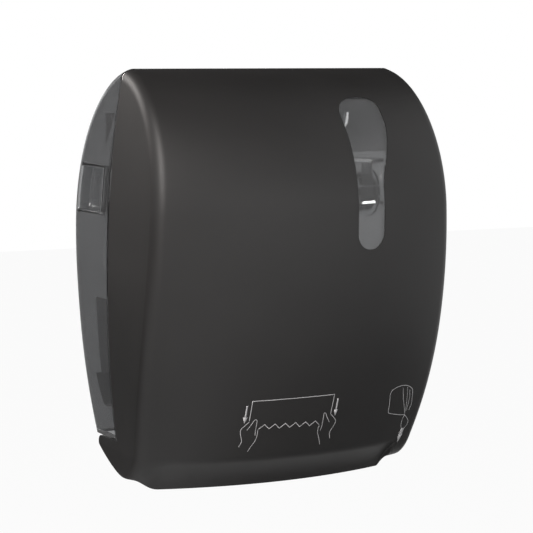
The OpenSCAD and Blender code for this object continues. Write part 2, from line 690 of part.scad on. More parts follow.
// Toothed blade, held on the flat of the holder
tooth = 6;
tooth_deep = 4;
module knife_blade() {
    n = floor((2 * knife_half - 4) / tooth);
    reach = n * tooth / 2;
    edge = [for (k = [0 : n - 1]) each [[-reach + k * tooth, knife_tip - tooth_deep],
        [-reach + (k + 0.5) * tooth, knife_tip]]];
    color("LightSteelBlue") translate([0, -drum_f, drum_h - mount_h]) rotate([90 - slot_angle, 0, 0])
        translate([0, blade_t / 2, 0]) rotate([90, 0, 0]) linear_extrude(blade_t)
            polygon(concat([[-reach, blade_low + 0.1]], edge,
                [[reach, knife_tip - tooth_deep], [reach, blade_low + 0.1]]));
}
module knife_pins() {
    p = round_drum(pin_at, slot_angle);
    color("Silver") pair() rod(pin_r, knife_half, plate_in + track_deep - 0.3, p[0], p[1]);
}
// Sliding blocks that carry the pinch roller
module pinch_blocks() {
    p = round_drum(pinch_at, pinch_angle);
    color("Ivory") pair() difference() {
        drum_sheet(plate_in - 0.5, pinch_spring_x + 3.1, pinch_angle) translate([pinch_at, 0])
            square([block_long, block_w], center = true);
        rod(pinch_shaft_r + play, plate_in - 1, pinch_spring_x + 4, p[0], p[1]);
    }
}
pinch_shaft_r = 3;
module pinch_shaft() {
    p = round_drum(pinch_at, pinch_angle);
    color("LightSteelBlue") rod(pinch_shaft_r, -plate_out - 4, plate_out + 4, p[0], p[1]);
}
module pinch_sleeves() {
    p = round_drum(pinch_at, pinch_angle);
    color("DimGray") for (x = band_places) difference() {
        rod(pinch_r, x - band_w / 2 - 2, x + band_w / 2 + 2, p[0], p[1]);
        rod(pinch_shaft_r, x - band_w, x + band_w, p[0], p[1]);
    }
}
// Lever that feeds the towel by hand, with its pawl pin and spring lug
lever_long = 80;
lever_w = 10;
lever_knob_r = 7;
lever_boss_r = 13;
module feed_lever() {
    pawl = round_drum(pawl_at, pawl_angle);
    lug = round_drum(lever_lug_at, 180);
    color("DarkOliveGreen") difference() {
        union() {
            drum_sheet(lever_x, lever_x + lever_t, 0) {
                circle(lever_boss_r);
                rotate(lever_angle) translate([0, -lever_w / 2]) square([lever_long - lever_knob_r, lever_w]);
                rotate(lever_angle) translate([lever_long - lever_knob_r, 0]) circle(lever_knob_r);
                rotate(pawl_angle) translate([0, -lever_w / 2]) square([pawl_at, lever_w]);
                rotate(pawl_angle) translate([pawl_at, 0]) circle(lever_w / 2);
                rotate(180) translate([0, -2 * lever_lug_r]) square([lever_lug_at, 4 * lever_lug_r]);
                rotate(180) translate([lever_lug_at, 0]) circle(2 * lever_lug_r);
            }
            rod(pawl_pin_r - play, ratchet_x, lever_x + 1, pawl[0], pawl[1]);
            rod(lever_lug_r, lever_x + 1, lever_spring_x + 3, lug[0], lug[1]);
        }
        rod(shaft_r + play, lever_x - 1, lever_x + lever_t + 1, drum_f, drum_h);
    }
}
// Pawls that stand just clear of the ratchet's tips
pawl_gap = 0.5;
pawl_eye_r = 4.5;
pawl_tip = ratchet_r + pawl_gap;
module pawl(at) {
    pivot = pawl_at * [cos(at), sin(at)];
    tip = pawl_tip * [cos(at - pawl_turn), sin(at - pawl_turn)];
    long = norm(tip - pivot);
    turn = atan2(tip[1] - pivot[1], tip[0] - pivot[0]);
    drum_sheet(ratchet_x + 0.4, ratchet_x + ratchet_t - 0.4, 0) translate(pivot) rotate(turn) difference() {
        union() {
            circle(pawl_eye_r);
            polygon([[0, pawl_eye_r], [0, -2.5], [long, 0], [long, 1.6]]);
        }
        circle(pawl_pin_r);
    }
}
module drive_pawl() {
    color("Goldenrod") pawl(pawl_angle);
}
module holding_pawl() {
    color("Goldenrod") pawl(pawl_angle + 180);
}
// Arm that swings aside to let a roll in, with the pin of its core plug
hub_pin_r = 4;
arm_t = 4;
arm_eye_r = 13;
hub_long = 16;
hub_lead = 7;
module roll_arm() {
    x0 = arm_x - arm_t / 2;
    difference() {
        union() {
            post(2 * arm_pin_r, arm_x, arm_f, roll_h - arm_half_h, roll_h + arm_half_h);
            block(x0, x0 + arm_t, arm_f, roll_f, roll_h - arm_half_h, roll_h + arm_half_h);
            rod(arm_eye_r, x0, x0 + arm_t, roll_f, roll_h);
            rod(hub_pin_r, x0 - hub_long - 3, x0 + 1, roll_f, roll_h);
        }
        post(arm_pin_r, arm_x, arm_f, roll_h - arm_half_h - 1, roll_h + arm_half_h + 1);
    }
}
module roll_arm_right() {
    color("LightGray") roll_arm();
}
module roll_arm_left() {
    color("LightGray") mirror([1, 0, 0]) roll_arm();
}
// Plug that fits into the roll's core
module roll_hub() {
    x0 = arm_x - arm_t / 2 - 1;
    difference() {
        translate([x0, -roll_f, roll_h - mount_h]) rotate([0, -90, 0]) rotate_extrude()
            polygon([[0, 0], [hub_r + 5, 0], [hub_r + 5, 2], [hub_r, 2], [hub_r, hub_long - hub_lead],
                [hub_r - 3, hub_long], [0, hub_long]]);
        rod(hub_pin_r + play, x0 - hub_long - 4, x0 + 1, roll_f, roll_h);
    }
}
module roll_hub_right() {
    color("White") roll_hub();
}
module roll_hub_left() {
    color("White") mirror([1, 0, 0]) roll_hub();
}
// Barrel that a key turns, flush with the roof
key_w = 1.6;
key_half = 4;
module lock_barrel() {
    color("LightSteelBlue") difference() {
        union() {
            post(lock_r, 0, lock_f, tongue_h + tongue_t, lock_seat_h + 1);
            post(lock_r + 2, 0, lock_f, lock_seat_h + 0.2, lock_top_h);
        }
        block(-key_w / 2, key_w / 2, lock_f - key_half, lock_f + key_half, lock_top_h - 5, lock_top_h + 1);
    }
}
// Tongue that the barrel turns in front of the cover's striker
tongue_half = 3;
tongue_long = 29;
module lock_tongue() {
    color("LightSlateGray") block(-tongue_half, tongue_half, lock_f - 4, lock_f + tongue_long,
        tongue_h, tongue_h + tongue_t);
}
// Wall that closes each end of the lip
lip_wall_rear = 58;
lip_wall_low = 0.4;
lip_wall_high = 24.4;
module lip_wall() {
    sheet(lip_half - wall + 1, lip_half + 1) polygon(concat([[lip_wall_rear, lip_wall_high],
        [lip_wall_rear, lip_wall_low + 6], [lip_wall_rear + 4, lip_wall_low]],
        [for (h = [lip_wall_low : 8 : lip_wall_high])
            [front_f(h) + bow_back(lip_half, 0) - recess(h) - wall / 2, h]]));
}
// Black front with its window
module front_cover() {
    color("#303030") difference() {
        union() {
            net_shell(cover_rows(0), cover_rows(wall));
            pair() lip_wall();
        }
        translate([window_x, -120, -mount_h]) rotate([90, 0, 0]) linear_extrude(120) polygon(pear);
    }
}
module window_lens() {
    color("SlateGray") net_shell(lens_rows(wall + lens_gap), lens_rows(wall + lens_gap + lens_t));
}
// Bosses inside the chin that turn on the hinge pins
module hinge_knuckles() {
    color("#303030") pair() difference() {
        rod(knuckle_r - 0.5, knuckle_x, half_w(chin_top) - wall - 1.9, hinge_f, hinge_h);
        rod(hinge_r, knuckle_x - 1, half_w(chin_top), hinge_f, hinge_h);
    }
}
// Bracket behind which the lock tongue catches
striker_x = 14;
striker_w = 12;
striker_drop = 6;
module lock_striker() {
    hook = lock_f - 4;
    leg = seam_top_f + 11;
    color("LightSlateGray") sheet(striker_x, striker_x + striker_w) polygon([[hook - striker_t, tongue_h - 3],
        [hook, tongue_h - 3], [hook, striker_h], [leg, striker_h], [leg, body_h - striker_drop],
        [leg - striker_t, body_h - striker_drop + 0.5], [leg - striker_t, striker_h + striker_t],
        [hook - striker_t, striker_h + striker_t]]);
}

back_plate();
rear_shell();
pocket_left();
pocket_right();
side_plate_left();
side_plate_right();
paper_chute();
tie_rods();
frame_screws();
drum_bushes();
spring_post();
crank_spring();
lever_spring();
pinch_springs();
pawl_pin();
hinge_pins();
arm_pins();
lock_housing();
drum_shaft();
drum_shell_upper();
drum_shell_lower();
drum_end_left();
drum_end_right();
grip_bands();
crank_disc();
ratchet_wheel();
shaft_clip();
knife_holder();
knife_blade();
knife_pins();
pinch_blocks();
pinch_shaft();
pinch_sleeves();
feed_lever();
drive_pawl();
holding_pawl();
roll_arm_left();
roll_arm_right();
roll_hub_left();
roll_hub_right();
lock_barrel();
lock_tongue();
front_cover();
window_lens();
hinge_knuckles();
lock_striker();
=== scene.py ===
# %% [markdown]
# # A towel dispenser with a satin front and a smoke shell
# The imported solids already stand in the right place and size, in metres. This lesson
# dresses them: it makes finer skins where the eye will rest, gives every piece a
# finish built from nodes, and sets a camera and soft light. Nothing is moved or
# resized, so each joint of the solids still works.

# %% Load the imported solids
import json
import math

import bmesh
import bpy
from mathutils import Matrix, Vector


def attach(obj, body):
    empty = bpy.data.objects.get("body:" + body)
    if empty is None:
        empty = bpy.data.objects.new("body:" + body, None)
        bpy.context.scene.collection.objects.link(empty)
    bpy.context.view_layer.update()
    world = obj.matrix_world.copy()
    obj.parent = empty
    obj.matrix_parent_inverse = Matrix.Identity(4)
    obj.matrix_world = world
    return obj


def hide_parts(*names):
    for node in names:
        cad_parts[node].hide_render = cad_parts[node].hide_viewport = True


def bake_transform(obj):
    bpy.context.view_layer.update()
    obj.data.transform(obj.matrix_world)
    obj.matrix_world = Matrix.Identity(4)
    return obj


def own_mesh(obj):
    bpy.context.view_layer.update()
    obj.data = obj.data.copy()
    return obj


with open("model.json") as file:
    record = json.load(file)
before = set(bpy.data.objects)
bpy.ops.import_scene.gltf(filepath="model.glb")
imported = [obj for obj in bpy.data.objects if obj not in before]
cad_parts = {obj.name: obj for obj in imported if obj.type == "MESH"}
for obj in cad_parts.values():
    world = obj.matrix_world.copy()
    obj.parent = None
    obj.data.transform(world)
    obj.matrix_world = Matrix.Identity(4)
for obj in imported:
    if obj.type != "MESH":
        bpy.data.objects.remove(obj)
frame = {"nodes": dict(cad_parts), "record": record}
scene = bpy.context.scene
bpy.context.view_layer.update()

# %% [markdown]
# ## The camera
# The picture was taken from the left, level with the ridge of the dispenser, with a
# long lens. A camera in Blender looks along its own -Z axis, so it is first tipped up
# by a right angle to look along +Y, then nodded down and turned to the right.

# %% Camera
CAMERA_AT = (-0.7911, -1.6734, 0.1807)
LENS_LONG, NOD_DOWN, TURN_RIGHT = 132.585, 6.112, 26.784


def add_object(name, data):
    """A new object with this data, linked to the scene."""
    made = bpy.data.objects.new(name, data)
    scene.collection.objects.link(made)
    return made


camera = add_object("picture_camera", bpy.data.cameras.new("picture_camera"))
camera.data.lens = LENS_LONG
camera.location = CAMERA_AT
camera.rotation_euler = (math.radians(90 - NOD_DOWN), 0, math.radians(-TURN_RIGHT))
scene.camera = camera
scene.view_settings.view_transform = "Standard"

# %% [markdown]
# ## Curves of the body
# The moulded body is ruled by a few curves over the height h above the lip: how wide
# it is, how deep its front and its rear are, and where the two halves meet. The solids
# follow the same curves with few facets. Here they are written again in millimetres,
# so that the skins can follow them closely. Depth f counts forward from the wall.

# %% Sizes and curves
BODY_HIGH, BODY_WIDE, BODY_DEEP = 371.0, 293.0, 217.0
SCREWS_HIGH = 200.0
FRONT_BOW, EDGE_R, REAR_R, WALL, SEAM = 33.0, 16.0, 5.0, 2.6, 0.35
PEAK, BELLY = 0.674 * BODY_HIGH, 0.38 * BODY_HIGH
APEX, SWEEP_R = 0.373 * BODY_DEEP, 1.25 * BODY_HIGH
TOP_RISE = BODY_HIGH - PEAK
BOW_R = ((BODY_WIDE / 2) ** 2 + FRONT_BOW ** 2) / (2 * FRONT_BOW)
SEAM_MID, SEAM_MID_HIGH, SEAM_TOP, SEAM_LOW = 0.3994 * BODY_DEEP, 0.633 * BODY_HIGH, 11.9, 4.0
SEAM_RUN = 0.35 * BODY_HIGH
RIDGE = SEAM_MID + SEAM_TOP
TOP_TAPER, FOOT_TAPER = 12.0, 13.1


def place(x, f, h):
    """A point of the part, in metres, from millimetres across, forward and up."""
    return Vector((x, -f, h - SCREWS_HIGH)) / 1000


def half_width(h):
    if h > BELLY:
        return BODY_WIDE / 2 - TOP_TAPER * ((h - BELLY) / (BODY_HIGH - BELLY)) ** 2
    return BODY_WIDE / 2 - FOOT_TAPER * ((BELLY - h) / BELLY) ** 2


def front_depth(h):
    return BODY_DEEP - SWEEP_R + math.sqrt(SWEEP_R ** 2 - (PEAK - h) ** 2)


def seam_depth(h):
    if h > SEAM_MID_HIGH:
        return SEAM_MID + SEAM_TOP * ((h - SEAM_MID_HIGH) / (BODY_HIGH - SEAM_MID_HIGH)) ** 2
    return SEAM_MID + SEAM_LOW * min(1, (SEAM_MID_HIGH - h) / SEAM_RUN) ** 1.3


def bow_back(x, t):
    """How far the bowed front lies behind its middle, at a place across and an inset."""
    return math.sqrt((BOW_R - t) ** 2 - x * x) - BOW_R


def front_at(x, h, t=0.0):
    """Depth of the front over any place that is clear of the rounded edges."""
    if h <= PEAK:
        return front_depth(h) + bow_back(x, t)
    deep = BODY_DEEP + bow_back(x * half_width(PEAK) / half_width(h), t) - APEX
    return APEX + deep * math.sqrt(1 - ((h - PEAK) / (TOP_RISE - t)) ** 2)


def soft_step(s):
    s = min(1.0, max(0.0, s))
    return s * s * (3 - 2 * s)


# %% [markdown]
# ## A thick skin from two nets of points
# A moulded shell is a thin wall, and a wall has an outside, an inside and a rim. The
# helper takes the points of both sides with one list of faces, turns the inner faces
# round, and closes every open edge with a rim. A small bevel then breaks the rim's
# corners, because a moulded edge is never truly sharp and it is the bevel that catches
# the light.

# %% Helper for thick skins
SHARP_ANGLE = math.radians(50)


def thick_skin(name, outer, inner, faces, bevel=0.0):
    count = len(outer)
    edges = dict.fromkeys(edge for face in faces for edge in zip(face, face[1:] + face[:1]))
    rim = [(b, a, a + count, b + count) for a, b in edges if (b, a) not in edges]
    back = [tuple(i + count for i in reversed(face)) for face in faces]
    mesh = bpy.data.meshes.new(name)
    mesh.from_pydata([*outer, *inner], [], [*faces, *back, *rim])
    mesh.validate()
    work = bmesh.new()
    work.from_mesh(mesh)
    loose = [v for v in work.verts if not v.link_faces]
    bmesh.ops.delete(work, geom=loose, context="VERTS")
    work.to_mesh(mesh)
    work.free()
    mesh.shade_smooth()
    piece = add_object(name, mesh)
    if bevel:
        round_over = piece.modifiers.new("broken edges", "BEVEL")
        round_over.width = bevel / 1000
        round_over.segments = 2
        round_over.limit_method = "ANGLE"
        round_over.angle_limit = SHARP_ANGLE
        round_over.harden_normals = True
    print(name, len(mesh.polygons), "faces,", len(rim), "on the rim")
    return piece


def net_faces(rows, columns, gone=(), turned=False):
    """Faces of a net of rows and columns, less the gone ones, and turned round if asked."""
    gone = set(gone)
    faces = [(i * columns + j, i * columns + j + 1, (i + 1) * columns + j + 1, (i + 1) * columns + j)
             for i in range(rows - 1) for j in range(columns - 1) if (i, j) not in gone]
    return [tuple(reversed(face)) for face in faces] if turned else faces


def laid_out(rows):
    """The points of a net, row by row, in metres."""
    return [place(*p) for row in rows for p in row]


# %% [markdown]
# ## Shared effects as node groups
# Grain, handling marks and worn edges show on many pieces, so each effect is built once
# as a group with named sockets and then placed in each finish with its own values. A
# group puts out only what changes over the surface. The shader itself stays in the
# finish.

# %% Helper to start a group
def start_group(name, inputs, outputs):
    group = bpy.data.node_groups.new(name, "ShaderNodeTree")
    for socket, value in inputs.items():
        made = group.interface.new_socket(socket, in_out="INPUT", socket_type="NodeSocketFloat")
        made.default_value = value
    for socket in outputs:
        group.interface.new_socket(socket, in_out="OUTPUT", socket_type="NodeSocketFloat")
    return group, group.nodes.new("NodeGroupInput"), group.nodes.new("NodeGroupOutput")


def add_math(tree, operation, first, second=None, third=None):
    node = tree.nodes.new("ShaderNodeMath")
    node.operation = operation
    for socket, value in zip(node.inputs, (first, second, third)):
        if isinstance(value, bpy.types.NodeSocket):
            tree.links.new(value, socket)
        elif value is not None:
            socket.default_value = value
    return node.outputs[0]


def add_noise(tree, scale, detail):
    """Noise over the piece's own space, at the scale that a socket gives."""
    where = tree.nodes.new("ShaderNodeTexCoord")
    noise = tree.nodes.new("ShaderNodeTexNoise")
    noise.inputs["Detail"].default_value = detail
    tree.links.new(where.outputs["Object"], noise.inputs["Vector"])
    tree.links.new(scale, noise.inputs["Scale"])
    return noise.outputs[0]


# %% Moulded grain: the fine spark-eroded texture of a satin moulding
grain_group, grain_in, grain_out = start_group(
    "moulded_grain", {"Scale": 900.0, "Cloud Scale": 14.0}, ["Height", "Cloud"])
for scale, detail, socket in (("Scale", 3.0, "Height"), ("Cloud Scale", 4.0, "Cloud")):
    noise = add_noise(grain_group, grain_in.outputs[scale], detail)
    grain_group.links.new(noise, grain_out.inputs[socket])

# %% Handling marks: roughness that wanders where hands and cloths have been
marks_group, marks_in, marks_out = start_group(
    "handling_marks", {"Roughness": 0.4, "Spread": 0.1, "Scale": 22.0}, ["Roughness"])
smear = add_noise(marks_group, marks_in.outputs["Scale"], 5.0)
smear.node.inputs["Distortion"].default_value = 0.6
wander = add_math(marks_group, "SUBTRACT", smear, 0.5)
rough = add_math(marks_group, "MULTIPLY_ADD", wander, marks_in.outputs["Spread"],
                 marks_in.outputs["Roughness"])
marks_group.links.new(rough, marks_out.inputs["Roughness"])

# %% Worn edges: a mask that is light on outer corners, broken up by noise
wear_group, wear_in, wear_out = start_group(
    "worn_edges", {"Start": 0.53, "Width": 0.08, "Scale": 160.0}, ["Mask"])
shape = wear_group.nodes.new("ShaderNodeNewGeometry")
nicks = add_noise(wear_group, wear_in.outputs["Scale"], 2.0)
above = add_math(wear_group, "SUBTRACT", shape.outputs["Pointiness"], wear_in.outputs["Start"])
share = add_math(wear_group, "DIVIDE", above, wear_in.outputs["Width"])
share.node.use_clamp = True
wear_group.links.new(add_math(wear_group, "MULTIPLY", share, nicks), wear_out.inputs["Mask"])

# %% [markdown]
# ## Finishes
# One helper lays out the finish that most pieces share: a base colour that clouds a
# little, lighter worn edges, roughness with handling marks and a fine bump. The numbers
# make it a satin black moulding, a grey tray, rubber or drawn wire. Values that are the
# same all over are set straight on the shader.

# %% Helpers for finishes
def start_finish(name):
    finish = bpy.data.materials.new(name)
    finish.use_nodes = True
    return finish, finish.node_tree, finish.node_tree.nodes["Principled BSDF"]


def add_group(tree, group, **values):
    """Places an effect in a finish, with values for some of its sockets."""
    node = tree.nodes.new("ShaderNodeGroup")
    node.node_tree = group
    for socket, value in values.items():
        node.inputs[socket].default_value = value
    return node.outputs


def add_ramp(tree, driver, *stops):
    """A ramp between two colours, driven by a socket."""
    ramp = tree.nodes.new("ShaderNodeValToRGB")
    for stop, (at, colour) in zip(ramp.color_ramp.elements, stops):
        stop.position = at
        stop.color = (*colour, 1)
    tree.links.new(driver, ramp.inputs["Fac"])
    return ramp.outputs["Color"]


# %% Helper for solid finishes
CLOUDY = 0.06


def solid_finish(name, colour, worn, roughness, grain=900.0, bump=0.00002, metallic=0.0, specular=0.5):
    finish, tree, shader = start_finish(name)
    shader.inputs["Metallic"].default_value = metallic
    shader.inputs["Specular IOR Level"].default_value = specular
    texture = add_group(tree, grain_group, Scale=grain)
    marks = add_group(tree, marks_group, Roughness=roughness)
    wear = add_group(tree, wear_group)
    darker, lighter = [[c * gain for c in colour] for gain in (1 - CLOUDY, 1 + CLOUDY)]
    base = add_ramp(tree, texture["Cloud"], (0.3, darker), (0.7, lighter))
    mix = tree.nodes.new("ShaderNodeMix")
    mix.data_type = "RGBA"
    mix.inputs["B"].default_value = (*worn, 1)
    height = tree.nodes.new("ShaderNodeBump")
    height.inputs["Distance"].default_value = bump
    for output, goal in (
            (base, mix.inputs["A"]),
            (wear["Mask"], mix.inputs["Factor"]),
            (mix.outputs["Result"], shader.inputs["Base Color"]),
            (marks["Roughness"], shader.inputs["Roughness"]),
            (texture["Height"], height.inputs["Height"]),
            (height.outputs["Normal"], shader.inputs["Normal"])):
        tree.links.new(output, goal)
    return finish


# %% Finishes of the solid pieces
satin_black = solid_finish("satin_black", (0.0195, 0.019, 0.019), (0.034, 0.034, 0.034), 0.46,
                           bump=0.00003, specular=0.28)
tray_grey = solid_finish("tray_grey", (0.30, 0.305, 0.31), (0.38, 0.38, 0.385), 0.5)
frame_grey = solid_finish("frame_grey", (0.06, 0.061, 0.064), (0.11, 0.11, 0.112), 0.48)
drum_white = solid_finish("drum_white", (0.55, 0.55, 0.53), (0.66, 0.66, 0.64), 0.42)
bearing_ivory = solid_finish("bearing_ivory", (0.62, 0.59, 0.50), (0.7, 0.68, 0.6), 0.32)
lever_green = solid_finish("lever_green", (0.03, 0.16, 0.055), (0.07, 0.24, 0.1), 0.36)
band_rubber = solid_finish("band_rubber", (0.02, 0.02, 0.02), (0.05, 0.05, 0.05), 0.75, grain=1600,
                           bump=0.00006, specular=0.3)
plated_steel = solid_finish("plated_steel", (0.56, 0.57, 0.58), (0.68, 0.68, 0.68), 0.3, metallic=1.0)
ground_blade = solid_finish("ground_blade", (0.6, 0.61, 0.63), (0.75, 0.75, 0.76), 0.22, grain=2400,
                            metallic=1.0)
drawn_wire = solid_finish("drawn_wire", (0.45, 0.45, 0.46), (0.6, 0.6, 0.6), 0.28, metallic=1.0)
lock_chrome = solid_finish("lock_chrome", (0.7, 0.7, 0.71), (0.8, 0.8, 0.8), 0.14, bump=0.000005,
                           metallic=1.0)
pale_print = solid_finish("pale_print", (0.44, 0.44, 0.45), (0.48, 0.48, 0.49), 0.5, bump=0.00001)

# %% [markdown]
# ## Clear smoke plastic
# The rear shell and the window are clear plastic with a grey dye. A shader with nearly
# full transmission bends the light at each face and dyes it once on the way through a
# wall, so two walls in a row look darker than one, as they do on the real thing.

# %% Smoke finishes
CLEAR_IOR = 1.49
COOL = (0.975, 0.985, 1.0)


def smoke_finish(name, light, dark, through):
    """Clear plastic with a grey dye, a little of which scatters light back."""
    finish, tree, shader = start_finish(name)
    shader.inputs["Transmission Weight"].default_value = through
    shader.inputs["IOR"].default_value = CLEAR_IOR
    cloud = add_group(tree, grain_group)["Cloud"]
    marks = add_group(tree, marks_group, Roughness=0.03, Spread=0.05)
    stops = [(at, [tone * c for c in COOL]) for at, tone in ((0.25, dark), (0.75, light))]
    tree.links.new(add_ramp(tree, cloud, *stops), shader.inputs["Base Color"])
    tree.links.new(marks["Roughness"], shader.inputs["Roughness"])
    return finish


smoke_clear = smoke_finish("smoke_clear", 0.325, 0.31, 0.96)
lens_clear = smoke_finish("lens_clear", 0.385, 0.37, 0.95)
arm_clear = smoke_finish("arm_clear", 0.985, 0.965, 0.99)

# %% [markdown]
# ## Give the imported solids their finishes
# The record says which slot each solid belongs to. A table from slot to finish is all
# that is needed.

# %% Finishes on the solids
finish_of_slot = {
    "black_shell": satin_black, "smoke_shell": smoke_clear, "smoke_pocket": smoke_clear,
    "smoke_lens": lens_clear, "tray": tray_grey, "frame_plastic": frame_grey,
    "drum_plastic": drum_white, "bearing_plastic": bearing_ivory, "arm_plastic": arm_clear,
    "lever_plastic": lever_green, "steel": plated_steel, "blade_steel": ground_blade,
    "spring_steel": drawn_wire, "lock_metal": lock_chrome, "grip_rubber": band_rubber,
}
for row in frame["record"]["subparts"]:
    node = frame["nodes"][row["node"]]
    node.data.materials.clear()
    node.data.materials.append(finish_of_slot[row["material_slot"]])


def dress(piece, body, slot, *nodes):
    """Finish a new piece, let it ride on its body and stand for its solids."""
    piece.data.materials.append(finish_of_slot[slot])
    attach(piece, body)
    if nodes:
        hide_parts(*nodes)
    return piece


# %% [markdown]
# ## The front cover
# The cover is one moulding: a bowed front that sweeps under to the lip, rolls over to
# the ridge and turns round two soft upright edges into the sides. Its skin is a net of
# rows and columns. Rows climb from the lip, first round the bottom corners, then up the
# front, then over the top. Columns run from the rear edge on the left, round the edge,
# across the bow, and back on the right.

# %% Places of the rows and columns
CHIN_TOP, CORNER_R = 34.0, 23.0
LIP_HALF = BODY_WIDE / 2 - 32
LIP_END, LIP_FADE, LIP_RECESS = LIP_HALF + 2, 30.0, 17.0
HINGE_F, HINGE_H, KNUCKLE_R, CHIN_REAR, HEEL_BACK, HEEL_TUCK = 54.0, 33.0, 9.0, 96.0, 12.0, 0.1
STEP = HINGE_H + KNUCKLE_R


def bow_end(w, t):
    return (BOW_R - t) * (w - EDGE_R) / (BOW_R - EDGE_R)


LIP_SHARE = LIP_HALF / bow_end(half_width(CHIN_TOP), 0)
LIP_BLEND, DISH_START, DISH_WIDE = 0.014, 109.0, 28.0
CREASE_STEPS, CREASE_GAP = 9, 0.8
bow_shares = [LIP_SHARE * k / 44 for k in range(45)]
bow_shares += [LIP_SHARE + LIP_BLEND * k / 6 for k in range(1, 7)]
bow_shares += [LIP_SHARE + LIP_BLEND + (1 - LIP_SHARE - LIP_BLEND) * k / 5 for k in range(1, 5)]
bow_shares = [-q for q in reversed(bow_shares[1:])] + bow_shares


def lip_share(x):
    """How much of the lip carries on: it ends crisply on the right, in a soft dish on the left."""
    if x < 0:
        return 1 - soft_step((-x - DISH_START) / DISH_WIDE)
    return 1 - soft_step((x - LIP_HALF) / (LIP_BLEND * LIP_HALF / LIP_SHARE))


def plan(w, t):
    """Places across, depths behind the middle, shares of the lip, and how far the edge falls short."""
    big, cx = BOW_R - EDGE_R, w - EDGE_R
    cy = math.sqrt(big * big - cx * cx) - BOW_R
    start = math.asin(cx / big)
    edge = []
    for k in range(17):
        a = math.pi / 2 + (start - math.pi / 2) * k / 16
        x, back = cx + (EDGE_R - t) * math.sin(a), cy + (EDGE_R - t) * math.cos(a)
        edge.append((x, back, lip_share(x), bow_back(x, t) - back))
    across = [q * bow_end(w, t) for q in bow_shares]
    bow = [(x, bow_back(x, t), lip_share(x), 0.0) for x in across]
    left = [(-x, back, lip_share(-x), fall) for x, back, _, fall in edge]
    return left + bow + list(reversed(edge))


def recess(h):
    """Set-back of the lip, with the crease at its start softened."""
    total = 0.0
    for k in range(CREASE_STEPS):
        at = h + (k - CREASE_STEPS // 2) * CREASE_GAP
        if at <= LIP_FADE:
            total += LIP_RECESS * math.sin(math.pi / 2 * (LIP_FADE - at) / LIP_FADE)
    return total / CREASE_STEPS


def chin_rear(h):
    if h >= HINGE_H:
        return HINGE_F - math.sqrt(max(0, KNUCKLE_R ** 2 - (h - HINGE_H) ** 2))
    low = CHIN_TOP - CORNER_R
    return CHIN_REAR - (CHIN_REAR - HINGE_F + KNUCKLE_R) * (max(0, h - low) / (HINGE_H - low)) ** 0.75


# %% Rows of the cover
SIDE_STEPS, CHIN_STEPS, FRONT_STEPS, TOP_STEPS = 8, 22, 60, 44
RIDGE_SPARE, RIDGE_BEND = 0.5, 20


def with_sides(points, rear, h):
    """Adds the flat sides, from the rear edge to the first and last point of a row."""
    (xl, fl), (xr, fr) = points[0][:2], points[-1][:2]
    left = [(xl, rear + (fl - rear) * k / SIDE_STEPS, h) for k in range(SIDE_STEPS)]
    right = [(xr, fr + (rear - fr) * k / SIDE_STEPS, h) for k in range(1, SIDE_STEPS + 1)]
    return left + points + right


def chin_row(turn, t):
    """The lip carries on down, and the heel on either side of it rounds under."""
    heel, under = CORNER_R - t, 1 - math.cos(turn)
    h = CHIN_TOP - heel * math.sin(turn)
    lip_h = CHIN_TOP * (1 - turn / (math.pi / 2))
    points = []
    for x, back, lip, _ in plan(half_width(CHIN_TOP), t):
        heel_x = math.copysign(abs(x) - HEEL_TUCK * under * (abs(x) - LIP_END), x)
        corner = Vector((heel_x, front_depth(h) + back - HEEL_BACK * under, h))
        lower = Vector((x, front_depth(lip_h) + back - recess(lip_h), lip_h))
        points.append(tuple(corner.lerp(lower, lip)))
    return with_sides(points, chin_rear(h), h)


def body_row(h, t):
    points = [(x, front_depth(h) + back, h) for x, back, _, _ in plan(half_width(h), t)]
    return with_sides(points, chin_rear(h) if h < STEP else seam_depth(h), h)


def top_row(share, t):
    """The rounded edge keeps its size over the top by falling short along the skin's own slope."""
    points, turn = [], math.pi / 2 * share
    for x, back, _, fall in plan(half_width(PEAK), t):
        deep = BODY_DEEP + back + fall - APEX
        a = share * math.acos((RIDGE + RIDGE_SPARE - APEX) / deep)
        h = PEAK + (TOP_RISE - t) * math.sin(a) - fall * math.sin(turn)
        f = APEX + deep * math.cos(a) - fall * math.cos(turn)
        f -= share ** RIDGE_BEND * (RIDGE - seam_depth(h))
        points.append((x * half_width(h) / half_width(PEAK), f, h))
    return with_sides(points, seam_depth(points[0][2]), points[0][2])


def cover_rows(t):
    rows = [chin_row(math.pi / 2 * (1 - k / CHIN_STEPS), t) for k in range(CHIN_STEPS + 1)]
    rows += [body_row(h, t) for h in (36.0, 38.0, 40.0, STEP - 0.4, STEP + 0.4)]
    rows += [body_row(STEP + (PEAK - STEP) * k / FRONT_STEPS, t) for k in range(1, FRONT_STEPS + 1)]
    return rows + [top_row(k / TOP_STEPS, t) for k in range(1, TOP_STEPS + 1)]


cover_outer, cover_inner = cover_rows(0.0), cover_rows(WALL)
ROWS, COLUMNS = len(cover_outer), len(cover_outer[0])
print("cover net:", ROWS, "rows by", COLUMNS, "columns")

# %% [markdown]
# ## The window in the cover
# The window is a pear: narrow and round below, broad above. Cutting it with a boolean
# would leave ragged faces in a skin that has to shine evenly. Instead a rectangle of the
# net is taken out and the gap is filled with rings that change step by step from the
# rectangle into the pear, with every point laid on the same curved front.

# %% Pear outline
WINDOW_X, WINDOW_TOP, WINDOW_LONG = 47.6, BODY_HIGH - 26, 130.0
WINDOW_LOW = WINDOW_TOP - WINDOW_LONG
NARROW, BROAD, TIP = 14.25, 22.5, 4.0
CAP, FLARE = 0.7 * BROAD, 2.9 * BROAD
TURN_H = WINDOW_TOP - CAP


def pear_flare(h):
    share = min(1, max(0, h - TURN_H + FLARE) / FLARE)
    return (BROAD - NARROW) * (1 - math.cos(math.pi * share)) / 2


def pear_cap(h):
    return max(0, h - TURN_H) / CAP


